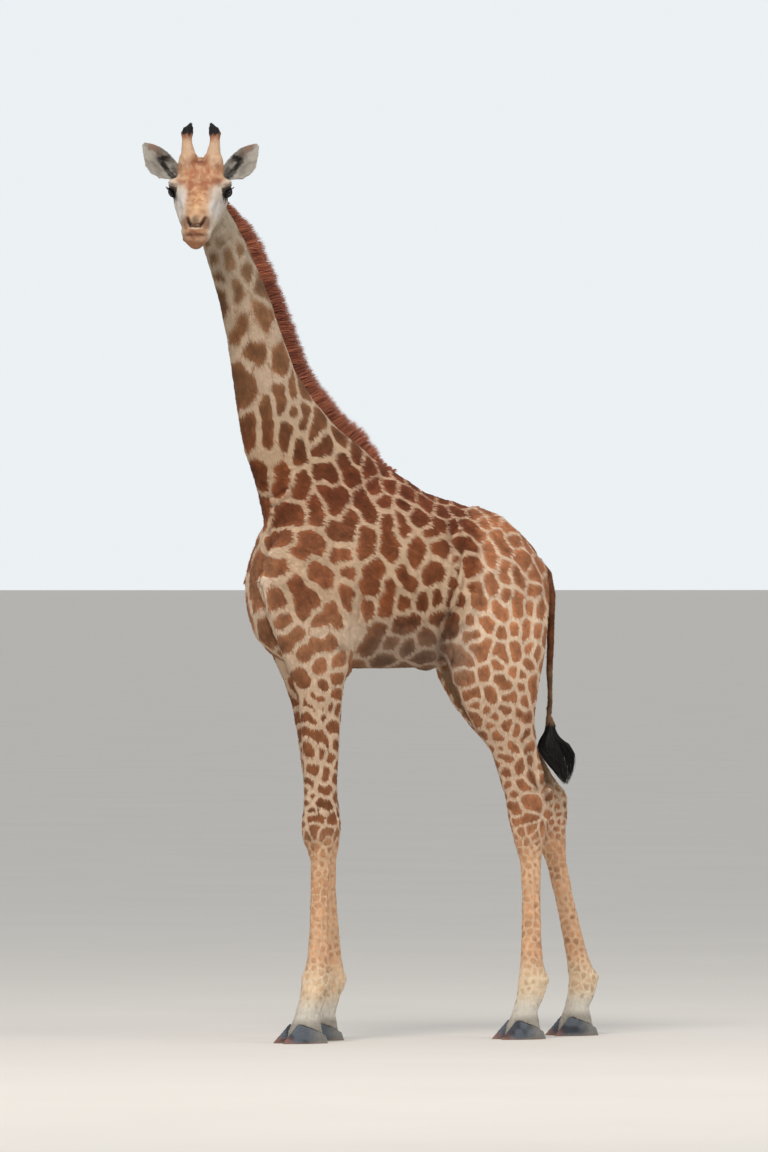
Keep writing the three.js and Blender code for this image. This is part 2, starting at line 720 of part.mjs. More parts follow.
function headPieces() {
  const skull = headLoft();
  const socketed = skull.subtract(eyeBall(1, GAP)).subtract(eyeBall(-1, GAP));
  const upwards = new THREE.Vector3(0, Math.sin(JAW_SLOPE), Math.cos(JAW_SLOPE));
  const split = part(socketed, LIPS_AT, upwards);
  const swollen = headLoft(GAP);
  const pieces = [
    piece('head', split.beyond, COAT_COLOR, HAIR_ROUGHNESS),
    piece('jaw', split.before, COAT_COLOR, HAIR_ROUGHNESS),
  ];
  for (const [label, side] of [['left', 1], ['right', -1]]) {
    const horn = hornLoft(side).subtract(swollen);
    const ear = earSolid(side, EAR_SWEEP[label]).subtract(swollen).subtract(hornLoft(side, GAP));
    pieces.push(piece(`eye_${label}`, eyeBall(side, 0), EYE_COLOR, EYE_ROUGHNESS));
    pieces.push(piece(`ossicone_${label}`, horn, HORN_COLOR, HAIR_ROUGHNESS));
    pieces.push(piece(`ear_${label}`, ear, EAR_COLOR, HAIR_ROUGHNESS));
  }
  return pieces;
}

const HEAD_POSE = new THREE.Matrix4().compose(
  EYES_AT,
  new THREE.Quaternion().setFromEuler(new THREE.Euler(FACE_DOWN, FACE_ROLL, FACE_TURN, 'ZYX')),
  new THREE.Vector3(1, 1, 1),
);

function placed(solid, matrix) {
  const geometry = geometryOf(solid);
  geometry.applyMatrix4(matrix);
  return solidOf(geometry);
}

// ---------------------------------------------------------------- mane and tail

// How much of its full height the mane has: it is short at the withers and behind the poll.
function maneShare(z) {
  const risen = THREE.MathUtils.smoothstep(z, ...MANE_RISE);
  const faded = THREE.MathUtils.smoothstep(z, ...MANE_FADE);
  return Math.max(risen, MANE_LEAST) - (1 - MANE_LEAST) * faded;
}

// The mane stands on the crest of the neck, from behind the poll to the withers.
function maneLoft() {
  const crest = NECK.filter((s) => s.z >= MANE_FOOT);
  const rings = crest.map((s, i) => {
    const before = crest[Math.max(i - 1, 0)];
    const after = crest[Math.min(i + 1, crest.length - 1)];
    const run = new THREE.Vector3(after.x - before.x, after.back - before.back, after.z - before.z);
    run.normalize();
    const out = new THREE.Vector3().crossVectors(run, X_AXIS).normalize();
    const rise = (MANE_HEIGHT * maneShare(s.z) + MANE_SUNK) / 2;
    const centre = new THREE.Vector3(s.x, s.back, s.z).addScaledVector(out, -MANE_SUNK + rise);
    return ring({
      centre,
      side: X_AXIS,
      up: out,
      halfSide: MANE_HALF_WIDTH,
      halfUp: rise,
      sides: MANE_SIDES,
      square: MANE_SQUARE,
    });
  });
  return skinRings(rings);
}

// The tail: a slim stalk that ends in a flattened tuft. half is across, thick is along Y.
function tailLoft() {
  const rings = TAIL.map((s, i) => {
    const before = TAIL[Math.max(i - 1, 0)];
    const after = TAIL[Math.min(i + 1, TAIL.length - 1)];
    const run = new THREE.Vector3(0, after.y - before.y, after.z - before.z).normalize();
    const out = new THREE.Vector3().crossVectors(run, X_AXIS);
    return ring({
      centre: new THREE.Vector3(0, s.y, s.z),
      side: X_AXIS,
      up: out,
      halfSide: s.half,
      halfUp: s.thick,
      sides: TAIL_SIDES,
    });
  });
  return skinRings(rings);
}

// ---------------------------------------------------------------- assembly

// Where the middle of the neck is at a height.
function neckMiddle(z) {
  const above = NECK.findIndex((s) => s.z >= z);
  const [low, high] = [NECK[above - 1], NECK[above]];
  const share = (z - low.z) / (high.z - low.z);
  const y = THREE.MathUtils.lerp(low.front + low.back, high.front + high.back, share) / 2;
  return new THREE.Vector3(0, y, z);
}

const NECK_WAY = new THREE.Vector3(0, -Math.sin(NECK_CUT_TILT), Math.cos(NECK_CUT_TILT));

function neckPieces(neck) {
  const low = part(neck, neckMiddle(NECK_JOINTS[0]), NECK_WAY);
  const high = part(low.beyond, neckMiddle(NECK_JOINTS[1]), NECK_WAY);
  return [
    piece('neck_lower', low.before, COAT_COLOR, HAIR_ROUGHNESS),
    piece('neck_middle', high.before, COAT_COLOR, HAIR_ROUGHNESS),
    piece('neck_upper', high.beyond, COAT_COLOR, HAIR_ROUGHNESS),
  ];
}

function trunkPiece(barrel) {
  let trunk = barrel;
  for (const name of Object.keys(LEGS)) {
    trunk = trunk.subtract(legBlock(name, -GAP / 2));
  }
  return piece('trunk', trunk, COAT_COLOR, HAIR_ROUGHNESS);
}

function manePieces(swollenTrunk, swollenHead) {
  const mane = maneLoft()
    .subtract(uprightLoft(NECK, NECK_SIDES, GAP))
    .subtract(swollenTrunk)
    .subtract(swollenHead);
  const cut = part(mane, neckMiddle(MANE_JOINT), NECK_WAY);
  return [
    piece('mane_lower', cut.before, MANE_COLOR, HAIR_ROUGHNESS),
    piece('mane_upper', cut.beyond, MANE_COLOR, HAIR_ROUGHNESS),
  ];
}

function tailPieces(swollenTrunk) {
  const tail = tailLoft().subtract(swollenTrunk);
  const cut = part(tail, new THREE.Vector3(0, 0, TAIL_TUFT_TOP), Z_AXIS);
  return [
    piece('tail_dock', cut.beyond, COAT_COLOR, HAIR_ROUGHNESS),
    piece('tail_tuft', cut.before, TUFT_COLOR, HAIR_ROUGHNESS),
  ];
}

function buildGiraffe() {
  const giraffe = new THREE.Group();
  const split = part(buildBody(), neckMiddle(NECK_ROOT), NECK_WAY);
  const swollenTrunk = trunkLoft(TRUNK, TRUNK_SIDES, GAP);
  const swollenHead = placed(headLoft(GAP), HEAD_POSE);
  giraffe.add(trunkPiece(split.before));
  giraffe.add(...neckPieces(split.beyond.subtract(swollenHead)));
  for (const name of Object.keys(LEGS)) {
    giraffe.add(...legPieces(split.before, name));
  }
  giraffe.add(...manePieces(swollenTrunk, swollenHead));
  giraffe.add(...tailPieces(swollenTrunk));
  const head = new THREE.Group();
  head.add(...headPieces());
  head.applyMatrix4(HEAD_POSE);
  giraffe.add(head);
  return giraffe;
}

// The origin is the middle of the bottom of the whole animal's box.
function standOnOrigin(giraffe) {
  const box = new THREE.Box3().setFromObject(giraffe, true);
  const middle = box.getCenter(new THREE.Vector3());
  giraffe.position.set(-middle.x, -middle.y, -box.min.z);
}

const giraffe = buildGiraffe();
standOnOrigin(giraffe);

export default giraffe;
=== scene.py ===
"""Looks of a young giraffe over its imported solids: skin, markings, coat, mane, eyes, hooves and light.

Metres, +Z up. The body faces -Y and its left side is +X. Places passed to spots() are measured
from the middle line of the trunk, as the solids' own stations are.
"""
import math

import bmesh
import bpy
import numpy as np
from mathutils import Euler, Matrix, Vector
from mathutils.bvhtree import BVHTree
from mathutils.kdtree import KDTree


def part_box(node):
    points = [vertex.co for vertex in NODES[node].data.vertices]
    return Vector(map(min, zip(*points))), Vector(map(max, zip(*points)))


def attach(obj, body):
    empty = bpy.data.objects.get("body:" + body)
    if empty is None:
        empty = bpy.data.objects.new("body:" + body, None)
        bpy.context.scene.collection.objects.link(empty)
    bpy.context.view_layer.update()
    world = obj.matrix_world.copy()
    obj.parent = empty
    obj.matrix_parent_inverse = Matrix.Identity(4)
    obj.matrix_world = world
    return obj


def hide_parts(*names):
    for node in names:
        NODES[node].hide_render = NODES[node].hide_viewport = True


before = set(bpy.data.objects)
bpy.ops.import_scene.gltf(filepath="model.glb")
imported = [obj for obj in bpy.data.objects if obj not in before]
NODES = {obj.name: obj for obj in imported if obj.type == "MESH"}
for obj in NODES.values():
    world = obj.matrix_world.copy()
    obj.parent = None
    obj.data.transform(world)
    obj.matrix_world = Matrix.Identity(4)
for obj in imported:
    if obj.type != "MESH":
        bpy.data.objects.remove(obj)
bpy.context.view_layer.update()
SEED = 4711
rng = np.random.default_rng(SEED)

# ------------------------------------------------------------------ places

TRUNK_AT = np.array((-0.0723, 0.0145, 0.0))  # middle line of the trunk in the model's frame
EYES_AT = np.array((0.148, -0.986, 3.864)) + TRUNK_AT
FACE_TURN = Euler([math.radians(a) for a in (38.0, 0.5, 61.5)], "XYZ")
HEAD_AXES = np.array(FACE_TURN.to_matrix())  # columns: the head's left, back and up
EYE_RADIUS = 0.025
EYE_PLACE = np.array((0.1175, -0.002, 0.0))
HORN_ROOT = np.array((0.058, 0.062, 0.055))
LEFT = np.array((1.0, 0.0, 0.0))
SIDES = (("left", 1.0), ("right", -1.0))
LEG_NAMES = ("fore_left", "fore_right", "hind_left", "hind_right")

TRUNK_NODES = ("trunk",)
NECK_NODES = ("neck_lower", "neck_middle", "neck_upper")
HEAD_NODES = ("head", "jaw")
TAIL_NODES = ("tail_dock",)


def leg_nodes(leg):
    return tuple(f"leg_{leg}_{part}" for part in ("upper", "lower", "foot"))


GROUPS = {"trunk": TRUNK_NODES, "neck": NECK_NODES, "head": HEAD_NODES, "tail": TAIL_NODES}
GROUPS.update({leg: leg_nodes(leg) for leg in LEG_NAMES})
GROUP_LIST = list(GROUPS)
FLESH = [name for names in GROUPS.values() for name in names]

CAMERA_AZIMUTH = math.radians(65.0)
CAMERA_DISTANCE = 50.0
CAMERA_HEIGHT = 2.083
FOCAL_PIXELS = 10929.0
PICTURE_WIDTH, PICTURE_HEIGHT = 768.0, 1152.0
HORIZON_BELOW = 9.0  # pixels that the horizon lies below the picture's middle
VIEW_BACK = np.array((math.sin(CAMERA_AZIMUTH), -math.cos(CAMERA_AZIMUTH), 0.0))  # towards the camera
VIEW_RIGHT = np.array((math.cos(CAMERA_AZIMUTH), math.sin(CAMERA_AZIMUTH), 0.0))
CAMERA_AT = TRUNK_AT + VIEW_BACK * CAMERA_DISTANCE + (0.0, 0.0, CAMERA_HEIGHT)


def spots(places):
    """Places that are measured from the middle line of the trunk, in the model's frame."""
    return np.array(places) + TRUNK_AT


def from_head(points):
    """Points of the head's own frame (left, back, up, from midway between the eyes) in the model's."""
    return np.asarray(points, float) @ HEAD_AXES.T + EYES_AT


def to_head(points):
    return (np.asarray(points, float) - EYES_AT) @ HEAD_AXES


# ------------------------------------------------------------------ numbers

def smooth(values, low, high):
    share = np.clip((np.asarray(values, float) - low) / (high - low), 0.0, 1.0)
    return share * share * (3.0 - 2.0 * share)


def between(values, low, high, soft):
    """1 between low and high, falling to 0 over soft on both sides."""
    return smooth(values, low - soft, low + soft) * (1.0 - smooth(values, high - soft, high + soft))


def lattice(cells, seed):
    """A steady random value between 0 and 1 for each whole-numbered cell."""
    mixed = cells[:, 0] * 73856093 ^ cells[:, 1] * 19349663 ^ cells[:, 2] * 83492791 ^ seed * 2654435
    mixed = (mixed ^ (mixed >> 13)) * 1274126177 & 0x7FFFFFFF
    return (mixed ^ (mixed >> 16)) % 65521 / 65521.0


def cloud(points, size, seed=0):
    """Smooth noise between -1 and 1, with lumps about size across."""
    scaled = points / size
    base = np.floor(scaled).astype(np.int64)
    part = scaled - base
    part = part * part * (3.0 - 2.0 * part)
    total = np.zeros(len(points))
    for corner in np.ndindex(2, 2, 2):
        weight = np.prod(np.where(np.array(corner) == 1, part, 1.0 - part), axis=1)
        total += weight * lattice(base + np.array(corner), seed)
    return total * 2.0 - 1.0


def path_distance(points, path):
    """Distance of each point from a line through the path's points, and its share along it."""
    path = np.asarray(path, float)
    best = np.full(len(points), 1e9)
    share = np.zeros(len(points))
    spans = np.linalg.norm(np.diff(path, axis=0), axis=1)
    starts = np.concatenate(([0.0], np.cumsum(spans)))
    for i, span in enumerate(spans):
        way = (path[i + 1] - path[i]) / span
        reach = np.clip((points - path[i]) @ way, 0.0, span)
        gap = np.linalg.norm(points - path[i] - reach[:, None] * way, axis=1)
        closer = gap < best
        best[closer] = gap[closer]
        share[closer] = (starts[i] + reach[closer]) / starts[-1]
    return best, share


def unit(vectors):
    length = np.linalg.norm(vectors, axis=-1, keepdims=True)
    return vectors / np.maximum(length, 1e-12)


# ------------------------------------------------------------------ meshes

def node_arrays(name):
    mesh = NODES[name].data
    points = np.zeros(len(mesh.vertices) * 3)
    mesh.vertices.foreach_get("co", points)
    mesh.calc_loop_triangles()
    triangles = np.zeros(len(mesh.loop_triangles) * 3, np.int32)
    mesh.loop_triangles.foreach_get("vertices", triangles)
    return points.reshape(-1, 3), triangles.reshape(-1, 3)


def joined_arrays(names):
    points, triangles, owner = [], [], []
    count = 0
    for name in names:
        some, faces = node_arrays(name)
        points.append(some)
        triangles.append(faces + count)
        owner += [name] * len(faces)
        count += len(some)
    return np.concatenate(points), np.concatenate(triangles), owner


def new_object(name, mesh):
    obj = bpy.data.objects.new(name, mesh)
    bpy.context.scene.collection.objects.link(obj)
    return obj


def mesh_from(name, points, faces):
    mesh = bpy.data.meshes.new(name)
    mesh.from_pydata(np.asarray(points).tolist(), [], np.asarray(faces).tolist())
    mesh.update()
    return mesh


def baked(obj, modifiers):
    """obj's mesh with the modifiers applied: a list of (type, settings)."""
    for kind, settings in modifiers:
        modifier = obj.modifiers.new(kind, kind)
        for key, value in settings.items():
            setattr(modifier, key, value)
    graph = bpy.context.evaluated_depsgraph_get()
    mesh = bpy.data.meshes.new_from_object(obj.evaluated_get(graph), depsgraph=graph)
    old = obj.data
    obj.modifiers.clear()
    obj.data = mesh
    bpy.data.meshes.remove(old)
    return obj


def remeshed(name, nodes, voxel):
    """One closed mesh round copies of the nodes."""
    points, triangles, _ = joined_arrays(nodes)
    obj = new_object(name, mesh_from(name, points, triangles))
    return baked(obj, [("REMESH", {"mode": "VOXEL", "voxel_size": voxel, "adaptivity": 0.0})])


def get_points(mesh):
    flat = np.zeros(len(mesh.vertices) * 3)
    mesh.vertices.foreach_get("co", flat)
    return flat.reshape(-1, 3)


def set_points(mesh, points):
    mesh.vertices.foreach_set("co", np.asarray(points, np.float32).ravel())
    mesh.update()


def get_normals(mesh):
    flat = np.zeros(len(mesh.vertices) * 3, np.float32)
    mesh.vertex_normals.foreach_get("vector", flat)
    return flat.reshape(-1, 3).astype(float)


def get_edges(mesh):
    flat = np.zeros(len(mesh.edges) * 2, np.int32)
    mesh.edges.foreach_get("vertices", flat)
    return flat.reshape(-1, 2)


def relaxed(points, edges, weight, rounds, lift=-1.02):
    """Points drawn to the mean of their neighbours and back out, so that volume stays.

    weight is each point's share, and lift is how strong the step back is beside the step in.
    """
    count = len(points)
    degree = np.bincount(edges.ravel(), minlength=count).astype(float)
    first, second = edges[:, 0], edges[:, 1]
    for step in range(rounds * 2):
        mean = np.empty_like(points)
        for axis in range(3):
            total = np.bincount(first, points[second, axis], count)
            total += np.bincount(second, points[first, axis], count)
            mean[:, axis] = total / degree
        share = 0.6 if step % 2 == 0 else 0.6 * lift
        points = points + (mean - points) * (weight * share)[:, None]
    return points


def face_outwards(mesh):
    """Turn the faces of a closed mesh so that they look out of it."""
    points = get_points(mesh)
    middle = points.mean(0)
    volume = sum(polygon.area * (np.array(polygon.normal) @ (np.array(polygon.center) - middle))
                 for polygon in mesh.polygons)
    if volume < 0:
        mesh.flip_normals()


def set_smooth(mesh):
    mesh.polygons.foreach_set("use_smooth", np.ones(len(mesh.polygons), bool))


def set_value(mesh, name, values):
    layer = mesh.attributes.new(name, "FLOAT", "POINT")
    layer.data.foreach_set("value", np.asarray(values, np.float32))


def set_colour(mesh, name, values):
    layer = mesh.attributes.new(name, "FLOAT_COLOR", "POINT")
    full = np.ones((len(values), 4), np.float32)
    full[:, :3] = values
    layer.data.foreach_set("color", full.ravel())


def surface_tree(mesh):
    faces = [tuple(polygon.vertices) for polygon in mesh.polygons]
    return BVHTree.FromPolygons(get_points(mesh).tolist(), faces)


# ------------------------------------------------------------------ skin

BODY_VOXEL = 0.0085
HEAD_CUTS = 2  # extra cuts on the head's edges, for its finer features
COAT_DEPTH = 0.004
SET_IN = ["eye_left", "eye_right", "ossicone_left", "ossicone_right"]  # the skin closes round these
FACE_COAT_DEPTH = 0.002


def head_share(points):
    """1 on the head, falling to 0 down the upper neck."""
    local = to_head(points)
    back = smooth(local[:, 1], 0.10, 0.24)
    low = smooth(-local[:, 2], 0.19, 0.27)
    far = smooth(np.linalg.norm(local, axis=1), 0.40, 0.46)
    return (1.0 - back) * (1.0 - low) * (1.0 - far)


def refine_head(mesh):
    share = head_share(get_points(mesh))
    work = bmesh.new()
    work.from_mesh(mesh)
    work.verts.ensure_lookup_table()
    edges = [e for e in work.edges if min(share[e.verts[0].index], share[e.verts[1].index]) > 0.3]
    bmesh.ops.subdivide_edges(work, edges=edges, cuts=HEAD_CUTS, use_grid_fill=True)
    bmesh.ops.triangulate(work, faces=[f for f in work.faces if len(f.verts) > 4])
    work.to_mesh(mesh)
    work.free()
    mesh.update()


def owners_of(points):
    """The group of flesh that each point lies nearest to."""
    cad_points, triangles, owner = joined_arrays(FLESH)
    tree = BVHTree.FromPolygons(cad_points.tolist(), triangles.tolist())
    group_of = {n: GROUP_LIST.index(g) for g, names in GROUPS.items() for n in names}
    numbers = [group_of[n] for n in owner]
    return np.array([numbers[tree.find_nearest(p)[2]] for p in points.tolist()])


def stiffness(points):
    """How strongly the facets are smoothed away at each point."""
    high = smooth(points[:, 2], 1.35, 1.75)
    return (0.25 + 0.75 * high) * (1.0 - 0.75 * head_share(points))


def fillet_horns(points, edges):
    """Round the hollow between the forehead and the horns, so that the horns grow out of it."""
    share = np.zeros(len(points))
    for _, side in SIDES:
        away = np.linalg.norm(points - from_head(HORN_ROOT * (side, 1, 1)), axis=1)
        share = np.maximum(share, 1.0 - smooth(away, 0.045, 0.085))
    away = np.linalg.norm(points - from_head((0.0, HORN_ROOT[1], HORN_ROOT[2] + 0.03)), axis=1)
    share = np.maximum(share, 0.8 * (1.0 - smooth(away, 0.03, 0.06)))
    return relaxed(points, edges, share, 7, lift=0.0)


def build_skin():
    obj = remeshed("skin", FLESH + SET_IN, BODY_VOXEL)
    mesh = obj.data
    points, edges = get_points(mesh), get_edges(mesh)
    points = relaxed(points, edges, stiffness(points), 45)
    points = relaxed(points, edges, np.full(len(points), 0.8), 4)
    set_points(mesh, fillet_horns(points, edges))
    refine_head(mesh)
    points, edges = get_points(mesh), get_edges(mesh)
    points = relaxed(points, edges, 0.9 * head_share(points), 10, lift=-0.6)
    set_points(mesh, points)
    set_smooth(mesh)
    return obj


# ------------------------------------------------------------------ places seen by the camera

class Sight:
    """Finds the places on a mesh that the camera sees at given pixels of its frame."""

    def __init__(self, mesh):
        self.tree = surface_tree(mesh)

    def places(self, pixels):
        """Places for the pixels (across, down) that meet the mesh."""
        found = []
        for across, down in pixels:
            rise = PICTURE_HEIGHT / 2 + HORIZON_BELOW - down
            way = VIEW_RIGHT * (across - PICTURE_WIDTH / 2) + (0.0, 0.0, rise) - VIEW_BACK * FOCAL_PIXELS
            hit = self.tree.ray_cast(Vector(CAMERA_AT), Vector(unit(way)))
            if hit[0] is not None:
                found.append(np.array(hit[0]))
        return np.array(found)


# ------------------------------------------------------------------ sections of the body

class Axis:
    """Middle line of a limb: the centre and half sizes of its level sections."""

    def __init__(self, points, low, high, step=0.02, along=2, across=(0, 1)):
        marks, middles, halves = [], [], []
        for level in np.arange(low, high, step):
            near = points[np.abs(points[:, along] - level) < step * 0.8][:, across]
            if len(near) > 8:
                marks.append(level)
                middles.append((near.max(0) + near.min(0)) / 2)
                halves.append((near.max(0) - near.min(0)) / 2)
        self.marks = np.array(marks)
        self.middles = np.array(middles)
        self.halves = np.array(halves)

    def middle(self, level):
        return np.stack([np.interp(level, self.marks, self.middles[:, i]) for i in (0, 1)], -1)

    def half(self, level):
        return np.stack([np.interp(level, self.marks, self.halves[:, i]) for i in (0, 1)], -1)


def find_axes(points, owner):
    axes = {}
    for number, group in enumerate(GROUP_LIST):
        mine = points[owner == number]
        if group in LEG_NAMES:
            axes[group] = Axis(mine, 0.03, 1.58)
        elif group == "neck":
            axes[group] = Axis(mine, 2.75, 3.78)
        elif group == "tail":
            axes[group] = Axis(mine, 1.5, 2.1)
        elif group == "trunk":
            axes[group] = Axis(mine, -0.58, 0.78, along=1, across=(0, 2))
    return axes


def leg_spot(axes, leg, level, outward, forward):
    """A place on a leg's side: outward 1 is its outer face, forward 1 its front."""
    side = 1.0 if leg.endswith("left") else -1.0
    middle = axes[leg].middle(level)
    half = axes[leg].half(level)
    way = np.array((side * outward, -forward))
    way = way / max(np.linalg.norm(way), 1e-9)
    x, y = middle + way * half
    return np.array((x, y, level))


# ------------------------------------------------------------------ relief of bones, muscles and folds

# Lines on the left of the face: from the middle, forwards from the eyes and up.
NOSTRIL = ((0.036, 0.256, 0.046), (0.034, 0.280, 0.041), (0.021, 0.304, 0.037))
MOUTH = ((0.060, 0.255, -0.048), (0.055, 0.305, -0.028), (0.034, 0.344, 0.004), (0.016, 0.354, 0.016),
         (0.0, 0.356, 0.010))


# Folds of the near side: pixels along them, reach and depth in metres, and how dark the painted shade in
# them is.
FOLDS = (
    (((250, 489), (258, 496), (268, 498), (280, 494), (291, 486)), 0.016, 0.010, 0.60),
    (((268, 508), (278, 505), (290, 496)), 0.014, 0.008, 0.55),
    (((273, 522), (276, 529), (277, 537)), 0.016, 0.010, 0.65),
    (((269, 528), (268, 542), (266, 556)), 0.022, 0.010, 0.65),
    (((262, 556), (260, 572), (260, 590), (263, 604), (266, 617), (272, 631), (280, 648)),
     0.028, 0.018, 0.72),
    (((362, 597), (360, 610), (358, 624)), 0.016, 0.007, 0.50),
    (((340, 646), (348, 654), (350, 664)), 0.035, 0.008, 0.45),
    (((446, 612), (443, 630), (441, 648), (441, 660)), 0.042, 0.016, 0.80),
    (((464, 547), (464, 558), (461, 572), (458, 585), (453, 600), (450, 613)), 0.020, 0.018, 0.85),
    (((450, 613), (449, 630), (450, 650), (452, 662)), 0.024, 0.018, 0.85),
    (((461, 519), (455, 531), (453, 544)), 0.016, 0.008, 0.55),
    (((448, 522), (451, 530), (450, 546)), 0.050, 0.006, 0.45),
    (((537, 742), (541, 760), (546, 785), (548, 797)), 0.050, 0.010, 0.62),
    (((531, 752), (533, 770), (537, 788)), 0.034, 0.006, 0.72),
    # At the knee the darkening is the darker hair of the callus, not shade.
    (((310, 829), (311, 840), (312, 850)), 0.018, -0.003, 0.40),
    (((222, 236), (224, 248)), 0.020, 0.006, 0.35),
)


class Relief:
    """Heights that are added along the skin's normals."""

    def __init__(self, points):
        self.points = points
        self.height = np.zeros(len(points))

    def swell(self, path, reach, height, ends=0.0):
        """A rounded ridge, or a trough where height is negative, along a path."""
        path = np.atleast_2d(np.asarray(path, float))
        low, high = path.min(0) - reach, path.max(0) + reach
        near = np.flatnonzero(np.all((self.points > low) & (self.points < high), axis=1))
        if len(near) == 0:
            return
        if len(path) == 1:
            gap = np.linalg.norm(self.points[near] - path[0], axis=1)
            share = np.full(len(near), 0.5)
        else:
            gap, share = path_distance(self.points[near], path)
        bulge = np.clip(1.0 - (gap / reach) ** 2, 0.0, 1.0) ** 2
        if ends > 0:
            bulge = bulge * smooth(share, -1e-6, ends) * (1.0 - smooth(share, 1.0 - ends, 1.0 + 1e-6))
        self.height[near] += height * bulge

    def both(self, path, reach, height, ends=0.0):
        """The same on the left and right of the trunk. The path is given by spots()."""
        path = np.atleast_2d(np.asarray(path, float))
        for side in (1.0, -1.0):
            flip = (path - TRUNK_AT) * (side, 1.0, 1.0) + TRUNK_AT
            self.swell(flip, reach, height, ends)


# Ridges, or hollows where the height is negative, on both sides of the trunk: places along each,
# reach, height, and the share of its length over which an end fades.
TRUNK_RELIEF = (
    (((0.10, -0.16, 2.56), (0.18, -0.36, 2.38), (0.24, -0.56, 2.16)), 0.07, 0.008, 0.2),
    (((0.14, -0.44, 2.52), (0.20, -0.62, 2.28)), 0.07, -0.008, 0.2),
    (((0.22, -0.18, 2.44), (0.24, -0.24, 2.2)), 0.08, -0.007, 0.2),
    (((0.24, -0.30, 2.12), (0.22, -0.30, 1.86)), 0.09, 0.009, 0.2),
    (((0.23, -0.58, 2.12),), 0.08, 0.008, 0.0),
    (((0.085, -0.62, 2.36), (0.08, -0.66, 2.15), (0.075, -0.62, 1.95), (0.07, -0.53, 1.8)),
     0.05, -0.024, 0.2),
    (((0.24, -0.215, 2.06), (0.235, -0.212, 1.92), (0.21, -0.205, 1.72)), 0.03, -0.016, 0.25),
    (((0.215, -0.24, 1.76), (0.20, -0.25, 1.68)), 0.03, 0.007, 0.0),
    (((0.24, 0.29, 2.27), (0.23, 0.36, 2.2)), 0.10, -0.013, 0.0),
    (((0.16, 0.30, 2.395), (0.20, 0.33, 2.32)), 0.055, 0.016, 0.0),
    (((0.235, 0.318, 2.24), (0.245, 0.292, 2.08), (0.24, 0.252, 1.97), (0.225, 0.232, 1.82),
      (0.19, 0.24, 1.70)), 0.028, -0.026, 0.12),
    (((0.25, 0.385, 2.2), (0.255, 0.35, 2.05), (0.25, 0.31, 1.92), (0.23, 0.295, 1.76)),
     0.055, 0.012, 0.2),
    (((0.22, 0.66, 2.24), (0.24, 0.64, 2.0), (0.22, 0.60, 1.72)), 0.045, -0.006, 0.2),
    (((0.22, 0.52, 2.26), (0.25, 0.52, 2.0)), 0.10, 0.006, 0.2),
    (((0.09, 0.77, 2.16),), 0.06, 0.012, 0.0),
    (((0.0, 0.42, 2.45), (0.0, 0.62, 2.375), (0.0, 0.78, 2.21)), 0.04, 0.007, 0.1),
    (((0.0, -0.20, 2.65), (0.0, 0.05, 2.6), (0.0, 0.40, 2.46)), 0.035, 0.006, 0.1),
    (((0.10, 0.10, 2.53), (0.10, 0.36, 2.44)), 0.06, -0.006, 0.2),
)
RIBS = 7
RIB_FIRST, RIB_STEP = -0.10, 0.058


def shape_trunk(relief):
    for path, *form in TRUNK_RELIEF:
        relief.both(spots(path), *form)
    for rib in range(RIBS):
        y = RIB_FIRST + rib * RIB_STEP
        path = ((0.22, y, 2.34), (0.26, y - 0.03, 2.14), (0.25, y - 0.08, 1.92))
        relief.both(spots(path), 0.02, 0.0028, 0.3)


# The same for folds of the throat, each on one side only, and for the neck, on both sides.
THROAT_FOLDS = (
    (((0.0, -0.668, 2.507), (0.09, -0.632, 2.495), (0.12, -0.576, 2.518), (0.135, -0.515, 2.568)),
     0.014, -0.011, 0.15),
    (((0.0, -0.675, 2.53), (0.09, -0.64, 2.52), (0.12, -0.58, 2.545)), 0.03, 0.007, 0.2),
    (((0.05, -0.635, 2.435), (0.115, -0.575, 2.465), (0.14, -0.53, 2.50)), 0.013, -0.009, 0.2),
    (((-0.02, -0.668, 2.505), (-0.10, -0.62, 2.50), (-0.13, -0.55, 2.54)), 0.014, -0.009, 0.2),
)
NECK_RELIEF = (
    (((0.07, -0.80, 3.50), (0.075, -0.70, 3.1), (0.10, -0.64, 2.62)), 0.035, -0.009, 0.15),
    (((0.085, -0.70, 3.4), (0.095, -0.56, 2.95), (0.12, -0.42, 2.65)), 0.05, 0.006, 0.2),
    (((0.07, -0.66, 3.5), (0.09, -0.46, 3.0), (0.12, -0.26, 2.7)), 0.04, -0.005, 0.2),
)


def shape_neck(relief):
    for path, *form in THROAT_FOLDS:
        relief.swell(spots(path), *form)
    for path, *form in NECK_RELIEF:
        relief.both(spots(path), *form)
    for number in range(3):
        down = number * 0.055
        back = down * 0.3
        path = ((0.0, -0.955 + back, 3.63 - down), (0.075, -0.91 + back, 3.69 - down),
                (0.105, -0.84 + back, 3.78 - down))
        relief.swell(spots(path), 0.016, -0.006, 0.2)


